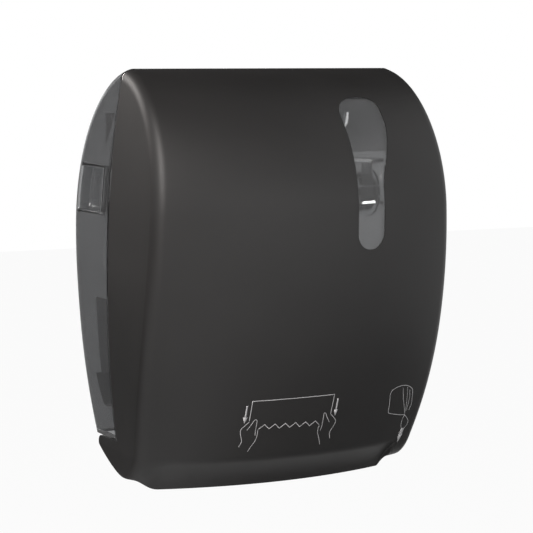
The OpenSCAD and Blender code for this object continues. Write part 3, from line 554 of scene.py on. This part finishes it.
def pear_half(h):
    if h < WINDOW_LOW + NARROW:
        return math.sqrt(max(0, NARROW ** 2 - (WINDOW_LOW + NARROW - h) ** 2))
    return (NARROW + pear_flare(h)) * max(0, 1 - pear_cap(h) ** 2.5) ** 0.4


def pear_middle(h):
    """The inner side of the pear is straight, so its middle moves outward as it grows broad."""
    return WINDOW_X + pear_flare(h) + TIP * pear_cap(h) ** 1.5


def pear_outline(count=400):
    """Points round the pear from its lower end, up the right side and down the left."""
    middle, reach = (WINDOW_TOP + WINDOW_LOW) / 2, WINDOW_LONG / 2
    heights = [middle - reach * math.cos(math.pi * k / count) for k in range(count + 1)]
    right = [(pear_middle(h) + pear_half(h), h) for h in heights]
    left = [(pear_middle(h) - pear_half(h), h) for h in reversed(heights[1:-1])]
    return right + left


def lengths(points):
    """Length that is reached at each point of a closed outline, and back at its start."""
    reached = [0.0]
    for a, b in zip(points, points[1:] + points[:1]):
        reached.append(reached[-1] + math.dist(a, b))
    return reached


def along(points, shares):
    """Points at given shares of the length of a closed outline."""
    closed, reached = [Vector(p) for p in [*points, points[0]]], lengths(points)
    found, k = [], 0
    for s in shares:
        want = s * reached[-1]
        while reached[k + 1] < want:
            k += 1
        found.append(closed[k].lerp(closed[k + 1], (want - reached[k]) / (reached[k + 1] - reached[k])))
    return found


# %% Fill the gap with rings
WINDOW_MIDDLE = WINDOW_X + BROAD - NARROW
GAP_HALF, GAP_BELOW, GAP_ABOVE, FRONT_ONLY, RINGS = 34, 8, 6, 150, 9
over_window = [j for j, (x, f, h) in enumerate(cover_outer[ROWS // 2])
               if abs(x - WINDOW_MIDDLE) < GAP_HALF and f > FRONT_ONLY]
j0, j1 = over_window[0], over_window[-1]
mid_j = (j0 + j1) // 2
i0 = max(i for i in range(ROWS) if cover_outer[i][mid_j][2] < WINDOW_LOW - GAP_BELOW)
i1 = min(i for i in range(ROWS) if cover_outer[i][mid_j][2] > WINDOW_TOP + GAP_ABOVE)
loop = [(i0, j) for j in range(mid_j, j1)] + [(i, j1) for i in range(i0, i1)]
loop += [(i1, j) for j in range(j1, j0, -1)] + [(i, j0) for i in range(i1, i0, -1)]
loop += [(i0, j) for j in range(j0, mid_j)]
edge_length = lengths([(cover_outer[i][j][0], cover_outer[i][j][2]) for i, j in loop])
pear = along(pear_outline(), [s / edge_length[-1] for s in edge_length[:-1]])


def ring_points(rows, t):
    made = []
    for k in range(1, RINGS + 1):
        for (i, j), goal in zip(loop, pear):
            start = Vector((rows[i][j][0], rows[i][j][2]))
            x, h = start.lerp(goal, (k / RINGS) ** 0.8)
            made.append((x, front_at(x, h, t), h))
    return made


gone = [(i, j) for i in range(i0, i1) for j in range(j0, j1)]
cover_faces = net_faces(ROWS, COLUMNS, gone)
around = len(loop)
ring_ids = [[i * COLUMNS + j for i, j in loop]]
ring_ids += [[ROWS * COLUMNS + k * around + n for n in range(around)] for k in range(RINGS)]
for low_ring, high_ring in zip(ring_ids, ring_ids[1:]):
    for n in range(around):
        m = (n + 1) % around
        cover_faces.append((low_ring[n], low_ring[m], high_ring[m], high_ring[n]))
outer = laid_out([*cover_outer, ring_points(cover_outer, 0.0)])
inner = laid_out([*cover_inner, ring_points(cover_inner, WALL)])
cover_skin = thick_skin("cover_skin", outer, inner, cover_faces, bevel=0.45)
dress(cover_skin, "cover", "black_shell", "front_cover")

# %% [markdown]
# ## The ends of the lip
# The lip is the tear edge that the towel leaves by. It is a channel with a wall at each
# end, which runs back from the lip's skin. Each wall is a small upright sheet with its
# lower rear corner rounded off. On the left the dish closes the lip, so the wall there
# starts higher.

# %% Lip walls
LIP_WALL_REAR, LIP_WALL_HIGH, LIP_CUT_LONG, LIP_CUT_HIGH = 58.0, 24.0, 6.0, 8.0
WALL_ROWS, WALL_COLUMNS = 15, 13


def lip_wall(name, side, low):
    outer, inner = [], []
    for k in range(WALL_ROWS):
        up = low + (LIP_WALL_HIGH - low) * k / (WALL_ROWS - 1)
        front = front_depth(up) + bow_back(LIP_HALF, 0) - recess(up) - WALL / 2
        cut = 1 - min(1, up / LIP_CUT_HIGH)
        rear = LIP_WALL_REAR + LIP_CUT_LONG * (1 - math.sqrt(1 - cut ** 2))
        for j in range(WALL_COLUMNS):
            f = rear + (front - rear) * j / (WALL_COLUMNS - 1)
            outer.append(place(side * (LIP_HALF + 1), f, up))
            inner.append(place(side * (LIP_HALF + 1 - WALL), f, up))
    faces = net_faces(WALL_ROWS, WALL_COLUMNS, turned=side < 0)
    dress(thick_skin(name, outer, inner, faces, bevel=0.5), "cover", "black_shell")


lip_wall("lip_wall_left", -1, 12.0)
lip_wall("lip_wall_right", 1, 0.4)

# %% [markdown]
# ## The lens
# A slip of smoke plastic lies behind the window, bent to the same bow as the front. Its
# middle is raised into the window as a pear that ends almost flush with the front, with
# a hair's breadth of air all round. The rows of its net follow the pear, so the step at
# the pear's edge is clean.

# %% Lens
LENS_GAP, LENS_T, LENS_EDGE, LENS_SUNK, LENS_AIR, HAIR = 0.7, 2.0, 9.0, 0.3, 0.35, 0.03
lens_low, lens_high = WINDOW_LOW - LENS_EDGE, WINDOW_TOP + LENS_EDGE - 1
pear_low, pear_high = WINDOW_LOW + LENS_AIR, WINDOW_TOP - LENS_AIR
pear_rows = [(pear_low + pear_high - (pear_high - pear_low) * math.cos(math.pi * k / 70)) / 2
             for k in range(71)]
below = [lens_low + (pear_low - HAIR - lens_low) * k / 4 for k in range(5)]
beyond = [pear_high + HAIR + (lens_high - pear_high - HAIR) * k / 4 for k in range(5)]
lens_heights = below + pear_rows + beyond


def lens_row(h):
    """Places across one row of the lens, each with whether it is raised into the window."""
    at = min(pear_high, max(pear_low, h))
    middle, half, reach = pear_middle(at), pear_half(at) - LENS_AIR, BROAD + LENS_EDGE
    raised = pear_low <= h <= pear_high
    left, right = WINDOW_MIDDLE - reach, WINDOW_MIDDLE + reach
    row = [(left + (middle - half - HAIR - left) * k / 4, False) for k in range(5)]
    row += [(middle + half * (k / 7 - 1), raised) for k in range(15)]
    return row + [(right + (middle + half + HAIR - right) * k / 4, False) for k in range(4, -1, -1)]


lens_outer, lens_inner = [], []
for h in lens_heights:
    for x, raised in lens_row(h):
        lens_outer.append(place(x, front_at(x, h, LENS_SUNK if raised else WALL + LENS_GAP), h))
        lens_inner.append(place(x, front_at(x, h, WALL + LENS_GAP + LENS_T), h))
lens_skin = thick_skin("lens_skin", lens_outer, lens_inner, net_faces(len(lens_heights), 25), bevel=0.12)
dress(lens_skin, "cover", "smoke_lens", "window_lens")

# %% [markdown]
# ## Slips behind the lens
# Two more slips of smoke plastic stand off behind the lens: a visor behind its broad
# half, and below that a narrow rib that tapers upward. Light that comes through them is
# dyed once more, so they show as darker shapes. Each is a net between four corners.

# %% Visor and rib
VISOR_LOW, VISOR_GAP, VISOR_T, RIB_GAP = 298.0, 2.2, 1.6, 0.4
visor_inset = WALL + LENS_GAP + LENS_T + VISOR_GAP


def between(corners, rows, columns):
    """Places of a net between four corners, row by row."""
    a, b, c, d = [Vector(p) for p in corners]
    shares = [(j / (columns - 1), k / (rows - 1)) for k in range(rows) for j in range(columns)]
    return [a.lerp(b, u).lerp(d.lerp(c, u), v) for u, v in shares]


def slip(name, corners, rows, columns, inset, bevel):
    """A slip behind the lens, between four corners given as place across and height."""
    spots = between(corners, rows, columns)
    nets = [[place(x, front_at(x, h, t), h) for x, h in spots] for t in (inset, visor_inset + VISOR_T)]
    dress(thick_skin(name, *nets, net_faces(rows, columns), bevel=bevel), "cover", "smoke_lens")


visor_half, visor_top = BROAD + LENS_EDGE - 2, WINDOW_TOP + LENS_EDGE - 3
visor_left, visor_right = WINDOW_MIDDLE - visor_half, WINDOW_MIDDLE + visor_half
visor_corners = [(visor_left, VISOR_LOW), (visor_right, VISOR_LOW),
                 (visor_right, visor_top), (visor_left, visor_top)]
rib_corners = [(40.0, 259.6), (54.0, 259.1), (52.9, 289.0), (44.3, 289.2)]
slip("window_visor", visor_corners, 31, 25, visor_inset, bevel=0.4)
slip("window_rib", rib_corners, 17, 9, visor_inset + RIB_GAP, bevel=0.3)

# %% [markdown]
# ## The smoke shell
# The rear half is one clear moulding: two sides, rounded rear edges, a roof, and an
# opening for the wall tray. Each side has a finger pocket. On the real piece the pocket
# is pressed into the side wall, so here the wall itself steps inward, and the inner face
# steps a little earlier than the outer one to keep the wall's thickness.

# %% Sizes of the shell and its pockets
REAR_GAP, REAR_PEAK = 4.0, 0.66 * BODY_HIGH
REAR_RISE = BODY_HIGH - REAR_PEAK
REAR_REACH = RIDGE - 1.3 - REAR_GAP
REAR_DEEP = 1.14 * REAR_REACH
SHELL_TURN = math.acos(1 - REAR_REACH / REAR_DEEP)
REAR_FLARE, REAR_BEND = 0.25, 64.3
TRAY_HALF, TRAY_TOP, SHELL_LOW = 110.4, BODY_HIGH - 41 + 0.4, STEP + 1.2
RIDGE_ROUND, RIDGE_GAP = 5.0, 0.4
POCKET_TOP, POCKET_LOW, POCKET_REAR, POCKET_FRONT = BODY_HIGH - 88, BODY_HIGH - 128, 12.0, 68.0
POCKET_DEEP, POCKET_RUN, INNER_EARLY = 12.0, 2.2, 0.8
NEAR_COUNT, NEAR_GAP, SIDE_FROM, SIDE_TO = 6, 0.55, 9.0, 87.0


def rear_depth(h):
    return REAR_GAP + REAR_FLARE * (math.sqrt(REAR_BEND ** 2 + (REAR_PEAK - h) ** 2) - REAR_BEND)


def pocket_step(f, h, t):
    """How far the side steps in, on its outer face or, with an inset, on its inner face."""
    share = 1.0
    for run in (f - POCKET_REAR, POCKET_FRONT - f, h - POCKET_LOW, POCKET_TOP - h):
        share *= soft_step((run + INNER_EARLY * t) / POCKET_RUN)
    return POCKET_DEEP * share


def near(edge):
    return [edge + NEAR_GAP * k for k in range(-NEAR_COUNT, NEAR_COUNT + 1)]


def steps(low, high, fixed, gap):
    """Places from low to high about a gap apart, with some fixed places among them."""
    marks = sorted({low, high, *[p for p in fixed if low < p < high]})
    placed = [low]
    for a, b in zip(marks, marks[1:]):
        parts = max(1, round((b - a) / gap))
        placed += [a + (b - a) * k / parts for k in range(1, parts + 1)]
    return placed


# %% Places of its rows and columns
side_marks = steps(SIDE_FROM, SIDE_TO, near(POCKET_REAR) + near(POCKET_FRONT), 4.0)
shell_heights = steps(SHELL_LOW, REAR_PEAK, near(POCKET_LOW), 5.0)


def side_height(share):
    """Height of a shell row at the side, for its share of the way over the roof."""
    fall = (REAR_R + RIDGE_ROUND * share) * math.sin(math.pi / 2 * share)
    return REAR_PEAK + REAR_RISE * math.sin(SHELL_TURN * share) - fall


def share_at(h):
    """The share at which a row's side reaches a height, found by halving."""
    low, high = 0.0, 1.0
    for _ in range(40):
        middle = (low + high) / 2
        low, high = (middle, high) if side_height(middle) < h else (low, middle)
    return low


TRAY_SHARE = math.asin((TRAY_TOP - REAR_PEAK) / REAR_RISE) / SHELL_TURN
shell_shares = steps(0.0, 1.0, [share_at(h) for h in near(POCKET_TOP)] + [TRAY_SHARE], 0.03)[1:]


# %% Rows of the shell
def shell_row(h, f, t, share, side_h):
    """One row from the right front edge round the rear to the left one."""
    r, turn = REAR_R + RIDGE_ROUND * share - t, math.pi / 2 * share
    bend = []
    for k in range(9):
        a = math.pi / 2 * k / 8
        fall = r * (1 - math.sin(a))
        hp = h - fall * math.sin(turn)
        deep = min(f + fall * math.cos(turn), seam_depth(hp) - SEAM - RIDGE_GAP)
        bend.append((half_width(hp) - t - r + r * math.cos(a), deep, hp))
    x0, f0, h0 = bend[0]
    front = seam_depth(h0) - SEAM
    side = []
    for mark in side_marks[1:]:
        at = f0 + (front - f0) * (mark - SIDE_FROM) / (SIDE_TO - SIDE_FROM)
        side.append((x0 - pocket_step(mark, side_h, t), at, h0))
    end, deep = bend[-1][0], bend[-1][1]
    rear = [(end + (TRAY_HALF - end) * k / 4, deep, h) for k in range(1, 5)]
    half = list(reversed(side)) + bend + rear
    middle = [(TRAY_HALF - 2 * TRAY_HALF * k / 24, deep, h) for k in range(1, 24)]
    return half + middle + [(-x, y, z) for x, y, z in reversed(half)]


def shell_rows(t):
    rows = [shell_row(h, rear_depth(h) + t, t, 0.0, h) for h in shell_heights]
    for share in shell_shares:
        a = SHELL_TURN * share
        high = REAR_PEAK + (REAR_RISE - t) * math.sin(a)
        deep = REAR_GAP + REAR_DEEP - (REAR_DEEP - t) * math.cos(a)
        rows.append(shell_row(high, deep, t, share, side_height(share)))
    return rows


# %% Build the shell
HAIR_OVER = 0.01
shell_outer, shell_inner = shell_rows(0.0), shell_rows(WALL)
SHELL_ROWS, SHELL_COLUMNS = len(shell_outer), len(shell_outer[0])
over_tray = [abs(x) <= TRAY_HALF + HAIR_OVER for x, f, h in shell_outer[0]]
below_top = [row[SHELL_COLUMNS // 2][2] < TRAY_TOP + HAIR_OVER for row in shell_outer]
tray_gone = [(i, j) for i in range(SHELL_ROWS - 1) for j in range(SHELL_COLUMNS - 1)
             if below_top[i + 1] and over_tray[j] and over_tray[j + 1]]
shell_faces = net_faces(SHELL_ROWS, SHELL_COLUMNS, tray_gone)
smoke_skin = thick_skin("smoke_skin", laid_out(shell_outer), laid_out(shell_inner), shell_faces)
print("shell net:", SHELL_ROWS, "rows by", SHELL_COLUMNS, "columns")

# %% [markdown]
# ## The hole for the lock
# The lock barrel comes up through the roof. A round hole in a curved clear roof is the
# one place where a boolean is the simple way: the cutter is a plain cylinder, and its
# result is kept as the mesh.

# %% Lock hole
def bore(piece, radius, low, high):
    """Cuts an upright round hole through a piece and keeps the result as its mesh."""
    shape = bmesh.new()
    bmesh.ops.create_cone(shape, cap_ends=True, segments=64, radius1=radius, radius2=radius,
                          depth=(high - low).length)
    drill = add_object("drill", bpy.data.meshes.new("drill"))
    shape.to_mesh(drill.data)
    shape.free()
    drill.location = (low + high) / 2
    cut = piece.modifiers.new("bore", "BOOLEAN")
    cut.object = drill
    cut.solver = "EXACT"
    bpy.context.view_layer.update()
    bored = bpy.data.meshes.new_from_object(piece.evaluated_get(bpy.context.evaluated_depsgraph_get()))
    piece.modifiers.remove(cut)
    piece.data = bored
    bpy.data.objects.remove(drill)


LOCK_F, LOCK_R, BORE_LOW, BORE_HIGH = RIDGE - 23, 8.5, 345, 375
bore(smoke_skin, LOCK_R / 1000, place(0, LOCK_F, BORE_LOW), place(0, LOCK_F, BORE_HIGH))
dress(smoke_skin, "housing", "smoke_shell", "rear_shell", "pocket_left", "pocket_right")

# %% [markdown]
# ## Liners low in the shell
# Low down, a grey panel lies just inside each side of the shell and screens the spring
# and the ratchet. A darker gusset near the hinge lies over its lower end. Both follow
# the side wall at a small distance, so they show through it as two soft grey shapes.

# %% Liners and gussets
LINER_T, LINER_INSET, GUSSET_INSET = 1.6, 2.6, 0.4
LINER_ROWS, LINER_COLUMNS = 25, 13


def liner(name, side, inset, corners, slot):
    """A panel inside the shell, between four corners given as depth and height."""
    spots = between(corners, LINER_ROWS, LINER_COLUMNS)
    nets = [[place(side * (half_width(h) - WALL - t), f, h) for f, h in spots]
            for t in (inset, inset + LINER_T)]
    faces = net_faces(LINER_ROWS, LINER_COLUMNS, turned=side < 0)
    dress(thick_skin(name, *nets, faces, bevel=0.3), "housing", slot)


LINER_CORNERS = [(65.0, 70.0), (88.5, 75.0), (86.0, 167.5), (51.0, 167.5)]
GUSSET_CORNERS = [(66.0, 72.0), (88.0, 76.5), (88.0, 104.5), (52.0, 99.0)]
for side, hand_side in ((-1, "left"), (1, "right")):
    liner("side_liner_" + hand_side, side, LINER_INSET, LINER_CORNERS, "tray")
    liner("hinge_gusset_" + hand_side, side, GUSSET_INSET, GUSSET_CORNERS, "frame_plastic")

# %% [markdown]
# ## The springs
# Four coils of bright wire work inside: one pulls the crank round, one brings the feed
# lever back and two press the pinch roller onto the drum. A rigid solid can't show a
# spring at work, so each coil is wound again here as one unbroken wire. The pinch coils
# ride on the housing, and the other two stay where they are wound.

# %% Helper that winds wire
WIRE_SIDES, STEPS_A_TURN = 8, 24


def wind(name, lines, radius, wire, turns, lead):
    """Wire wound round each line from its foot to its head, and drawn in to the line at both ends."""
    points, faces = [], []
    for foot, head in lines:
        long, first, count = (head - foot).length, len(points), STEPS_A_TURN * turns
        axis, side = (head - foot).normalized(), Vector((1, 0, 0))
        across, third = side.copy(), axis.cross(side)
        path = []
        for k in range(count + 1):
            s, turn = long * k / count, 2 * math.pi * k / STEPS_A_TURN
            out = radius / 1000 * soft_step((min(s, long - s) * 1000 - wire) / (lead - wire))
            path.append(foot + axis * s + (across * math.cos(turn) + third * math.sin(turn)) * out)
        for k, p in enumerate(path):
            ahead = axis if k in (0, count) else (path[k + 1] - path[k - 1]).normalized()
            side = (side - ahead * side.dot(ahead)).normalized()
            for j in range(WIRE_SIDES):
                a = 2 * math.pi * j / WIRE_SIDES
                points.append(p + (side * math.cos(a) + ahead.cross(side) * math.sin(a)) * wire / 1000)
        rings = [range(first + k * WIRE_SIDES, first + (k + 1) * WIRE_SIDES) for k in range(count + 1)]
        for low, high in zip(rings, rings[1:]):
            faces += [(low[j - 1], low[j], high[j], high[j - 1]) for j in range(WIRE_SIDES)]
        faces += [tuple(reversed(rings[0])), tuple(rings[-1])]
    mesh = bpy.data.meshes.new(name)
    mesh.from_pydata(points, [], faces)
    mesh.shade_smooth()
    mesh.materials.append(drawn_wire)
    piece = add_object(name, mesh)
    print(name, len(lines), "wound,", turns, "turns each")
    return piece


# %% Wind the four springs
PINCH_X, CRANK_X, LEVER_X, BLOCK_TRAVEL = 110.3, -120.9, 125.4, 2.5
pinch_lines = [(place(x, 52.736, 144.077), place(x, 47.058, 152.187)) for x in (-PINCH_X, PINCH_X)]
pinch_coils = wind("pinch_coils", pinch_lines, radius=2.4, wire=0.4, turns=7, lead=1.6)
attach(pinch_coils, "housing")
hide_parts("pinch_springs")
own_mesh(pinch_coils)

crank_line = (place(CRANK_X, 77.398, 119.814), place(CRANK_X, 63.004, 161.12))
crank_coil = wind("crank_coil", [crank_line], radius=3.4, wire=0.55, turns=23, lead=5.0)
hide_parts("crank_spring")
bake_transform(crank_coil)

lever_line = (place(LEVER_X, 64.755, 95.914), place(LEVER_X, 61.240, 66.036))
lever_coil = wind("lever_coil", [lever_line], radius=2.6, wire=0.45, turns=16, lead=4.0)
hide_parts("lever_spring")
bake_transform(lever_coil)

# %% [markdown]
# ## The printed line drawing
# The front carries a small drawing in pale ink that shows a towel being pulled down with
# two hands, and a small mark of a dispenser. Both are drawn in simple lines. Each stroke
# is a strip about as wide as a pen line, which lies on the curved front with the
# thickness of a film of ink.

# %% Helper for ink strokes
INK_T, INK_LIFT, INK_STEP = 0.05, 0.02, 2.0
ink_outer, ink_inner, ink_faces = [], [], []


def add_ink(x, h):
    """One place of ink, with its outer and its inner point."""
    ink_outer.append(place(x, front_at(x, h) + INK_LIFT + INK_T, h))
    ink_inner.append(place(x, front_at(x, h) + INK_LIFT, h))


def stroke(points, wide):
    """A line of ink through places across and heights, with mitred corners."""
    line = [Vector(p) for p in points]
    fine = [line[0]]
    for a, b in zip(line, line[1:]):
        parts = max(1, round((b - a).length / INK_STEP))
        fine += [a.lerp(b, k / parts) for k in range(1, parts + 1)]
    base = len(ink_outer)
    for k, p in enumerate(fine):
        before = (p - fine[k - 1]).normalized() if k else (fine[1] - p).normalized()
        after = (fine[k + 1] - p).normalized() if k < len(fine) - 1 else before
        along_line = (before + after).normalized()
        side = Vector((-along_line.y, along_line.x)) * wide / 2 / max(0.5, along_line.dot(before))
        add_ink(*(p - side))
        add_ink(*(p + side))
    for k in range(len(fine) - 1):
        a = base + 2 * k
        ink_faces.append((a, a + 2, a + 3, a + 1))


def patch(points):
    """A filled shape of ink, with its corners listed counter-clockwise."""
    base = len(ink_outer)
    for x, h in points:
        add_ink(x, h)
    ink_faces.append(tuple(range(base, base + len(points))))


def arrow(tail, tip, wide, head):
    """A straight arrow with a filled head."""
    tail, tip = Vector(tail), Vector(tip)
    way = (tip - tail).normalized()
    side = Vector((-way.y, way.x))
    neck = tip - way * head * 1.9
    stroke([tail, neck], wide)
    patch([tip, neck + side * head * 0.62, neck - side * head * 0.62])


# %% Helper for curved lines
def rounded(points, parts=6):
    """A smooth line through places, which keeps the first and last place."""
    line = [Vector(p) for p in points]
    line = [line[0] * 2 - line[1], *line, line[-1] * 2 - line[-2]]
    made = []
    for a, b, c, d in zip(line, line[1:], line[2:], line[3:]):
        for k in range(parts):
            t = k / parts
            bend = (2 * a - 5 * b + 4 * c - d) * t * t + (3 * b - 3 * c + d - a) * t ** 3
            made.append(b + ((c - a) * t + bend) / 2)
    return [*made, line[-2]]


# %% Draw the towel, the hands and the small mark
stroke([(-51.7, 67.6), (-52.0, 86.0), (26.3, 86.6), (26.6, 68.1)], 0.65)
teeth = [(-41.8 + 4.9 * k, 59.1 - 0.06 * k + (4.3 if k % 2 else 0.0)) for k in range(13)]
stroke(teeth, 0.6)
arrow((-56.1, 82.1), (-55.8, 65.0), 1.5, 3.3)
arrow((31.0, 82.5), (31.6, 65.5), 1.5, 3.3)
HAND_LINE, MARK_LINE, FOLD_LINE = 0.55, 0.6, 0.5
curves = [
    (HAND_LINE, [(-56.3, 43.1), (-54.7, 48.4), (-56.8, 54.4), (-57.7, 59.8), (-54.7, 63.4), (-51.5, 66.8)]),
    (HAND_LINE, [(-52.1, 58.9), (-49.7, 62.8), (-47.8, 67.1), (-46.1, 68.6), (-44.7, 67.4), (-44.4, 64.2),
                 (-44.2, 57.9), (-43.6, 53.4)]),
    (HAND_LINE, [(-42.1, 59.1), (-41.7, 53.2), (-42.7, 47.7), (-45.2, 42.6), (-47.1, 38.0)]),
    (HAND_LINE, [(27.3, 67.3), (30.9, 64.1), (33.8, 60.3), (32.4, 55.0), (30.2, 49.9), (32.1, 43.7)]),
    (HAND_LINE, [(27.2, 60.1), (23.6, 65.1), (21.3, 69.0), (19.5, 69.0), (19.9, 63.4), (20.1, 57.0),
                 (19.4, 52.6)]),
    (HAND_LINE, [(17.1, 57.9), (17.2, 51.5), (20.3, 45.1), (22.8, 38.8)]),
    (MARK_LINE, [(117.1, 56.0), (111.5, 56.5), (97.4, 59.6), (93.9, 62.0), (92.9, 70.1), (91.5, 77.2),
                 (91.9, 82.1), (96.3, 84.7), (102.2, 86.0), (108.8, 85.8), (115.4, 83.5), (119.8, 79.8),
                 (121.6, 72.6), (122.7, 65.3), (121.3, 59.5)]),
    (FOLD_LINE, [(106.1, 83.9), (109.0, 74.6), (112.8, 66.0), (117.1, 56.0)]),
    (FOLD_LINE, [(115.8, 80.9), (118.0, 73.1), (118.2, 66.1), (117.8, 60.1)]),
    (0.9 * FOLD_LINE, [(112.0, 83.6), (114.0, 75.4), (115.6, 67.2), (116.9, 59.0)]),
    (HAND_LINE, [(117.1, 55.8), (115.6, 51.3), (115.9, 46.2), (117.7, 41.5)]),
    (HAND_LINE, [(117.1, 55.8), (123.0, 50.5), (125.0, 46.5), (123.2, 42.9), (121.2, 41.0)]),
]
for wide, line in curves:
    stroke(rounded(line), wide)
arrow((119.6, 42.0), (118.0, 27.0), 4.4, 4.8)
print_skin = thick_skin("line_print", ink_outer, ink_inner, ink_faces)
print_skin.data.materials.append(pale_print)
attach(print_skin, "cover")

# %% [markdown]
# ## Floor and surroundings
# A pale floor lies well below, as the dispenser hangs on a wall. For rays that the
# camera, a reflection or a clear wall sends out, the surroundings are white and turn
# dark only near the zenith. The light that they give is dimmer, and it fades from the
# horizon up to a dark ceiling.

# %% Helper for a surface that reads white
def white_when_seen(tree, lit, bright, share):
    """Mixes a lit surface with a bright one for camera, mirror and see-through rays."""
    rays = tree.nodes.new("ShaderNodeLightPath")
    seen = add_math(tree, "ADD", rays.outputs["Is Camera Ray"], rays.outputs["Is Glossy Ray"])
    seen = add_math(tree, "ADD", seen, rays.outputs["Is Transmission Ray"])
    seen.node.use_clamp = True
    blend = tree.nodes.new("ShaderNodeMixShader")
    tree.links.new(add_math(tree, "MULTIPLY", seen, share), blend.inputs["Fac"])
    tree.links.new(lit, blend.inputs[1])
    tree.links.new(bright, blend.inputs[2])
    return blend.outputs[0]


# %% Floor
FLOOR_HIGH, FLOOR_REACH, FLOOR_WHITE = -0.62, 6, 0.95


def sheet(name, corners, finish):
    """A flat sheet of the stage with four corners."""
    mesh = bpy.data.meshes.new(name)
    mesh.from_pydata(corners, [], [(0, 1, 2, 3)])
    mesh.materials.append(finish)
    made = add_object(name, mesh)
    return made


pale_floor, tree, matt = start_finish("pale_floor")
matt.inputs["Base Color"].default_value = (0.7, 0.7, 0.7, 1)
matt.inputs["Roughness"].default_value = 0.9
glow = tree.nodes.new("ShaderNodeEmission")
pale = white_when_seen(tree, matt.outputs[0], glow.outputs[0], FLOOR_WHITE)
tree.links.new(pale, tree.nodes["Material Output"].inputs["Surface"])
floor_corners = ((-1, -1), (1, -1), (1, 1), (-1, 1))
sheet("floor", [(FLOOR_REACH * x, FLOOR_REACH * y, FLOOR_HIGH) for x, y in floor_corners], pale_floor)

# %% Surroundings
world = bpy.data.worlds.new("studio")
scene.world = world
world.use_nodes = True
tree = world.node_tree
where = tree.nodes.new("ShaderNodeTexCoord")
parts = tree.nodes.new("ShaderNodeSeparateXYZ")
tree.links.new(where.outputs["Generated"], parts.inputs[0])
climb = add_math(tree, "MULTIPLY_ADD", parts.outputs["Z"], 0.5, 0.5)


def sky(shader, low, high, start, stop):
    """A sky that goes from one grey to another between two shares of the way up."""
    grey = add_ramp(tree, climb, (start, [low] * 3), (stop, [high] * 3))
    tree.links.new(grey, shader.inputs["Color"])
    return shader.outputs[0]


lit_sky = sky(tree.nodes["Background"], 0.5, 0.06, 0.57, 0.84)
white_sky = sky(tree.nodes.new("ShaderNodeBackground"), 1.0, 0.10, 0.80, 0.98)
tree.links.new(white_when_seen(tree, lit_sky, white_sky, 1.0), tree.nodes["World Output"].inputs["Surface"])

# %% [markdown]
# ## Cards and lamps
# A shiny thing is lit by what it mirrors. Dark cards behind and above keep the white out
# of the side and the roof. Grey cloths just over the floor calm the lip and the smoke, and
# a small flag shades the left side. A broad lamp lights the front, a tall warm one on the
# left draws the long gleam down the rounded edge, and a strip behind brightens the side.
# Three small lamps stand where the lens mirrors them to the camera as white glints.

# %% Dark cards
CLOTH_HIGH = -0.6


def card(name, corners, finish, shade=False):
    """A sheet that shows in mirrors but isn't seen itself, and casts a shadow only if asked."""
    made = sheet(name, corners, finish)
    made.visible_camera = made.visible_transmission = False
    made.visible_shadow = shade


card("card_behind", [(-1.25, 0.35, -0.6), (-0.35, 1.25, -0.6), (-0.35, 1.25, 0.75), (-1.25, 0.35, 0.75)],
     band_rubber)
card("card_above", [(-1.2, 0.12, 1.0), (1.5, 0.12, 1.0), (1.5, 1.4, 0.33), (-1.2, 1.4, 0.33)], band_rubber)
for name, ground in (("cloth_below", [(0.0, -0.9), (1.3, -0.9), (1.3, 0.62), (0.0, 0.03)]),
                     ("cloth_left", [(-1.5, 0.1), (0.1, 0.1), (0.1, 1.6), (-1.5, 1.6)])):
    card(name, [(x, y, CLOTH_HIGH) for x, y in ground], tray_grey)
card("side_flag", [(-0.3, -0.27, -0.04), (-0.3, 0.3, -0.04), (-0.3, 0.3, 0.05), (-0.3, -0.27, 0.05)],
     band_rubber, shade=True)

# %% Lamps
WARM = (1.0, 0.95, 0.92)


def lamp(name, at, aim, wide, high, watts, tint=(1, 1, 1), level=(1, 0, 0)):
    """A soft lamp turned to its aim, with its wide side kept close to a given direction."""
    data = bpy.data.lights.new(name, "AREA")
    data.shape = "RECTANGLE"
    data.size, data.size_y, data.energy, data.color = wide, high, watts, tint
    made = add_object(name, data)
    made.location = at
    back = (Vector(at) - Vector(aim)).normalized()
    across = (Vector(level) - back * back.dot(Vector(level))).normalized()
    made.rotation_euler = Matrix((across, back.cross(across), back)).transposed().to_euler()


lamp("front_softbox", (0.5, -3.3, -0.15), (0, 0, 0), 3.0, 2.4, 24)
lamp("left_softbox", (-1.35, -0.95, 0.9), (-0.1, -0.15, 0.1), 0.35, 1.1, 37, WARM, (0.6, -0.8, 0))
lamp("rear_strip", (-0.75, 1.0, 0.68), (-0.14, -0.1, 0.12), 0.6, 0.25, 13, WARM, (0.7, 0.7, 0))
lamp("lens_glint", (0.782, -0.33, 1.168), (0.037, -0.187, 0.124), 0.45, 0.01, 0.09,
     level=(0.007, 0.387, 0.07))
lamp("ledge_glint", (0.839, -0.846, 0.718), (0.0425, -0.206, 0.092), 0.14, 0.05, 0.037,
     level=(0.112, 0.063, -0.057))
lamp("wedge_glint", (0.885, -1.067, 0.078), (0.043, -0.214, 0.057), 0.111, 0.042, 0.36,
     level=(0.096, 0.082, 0.006))
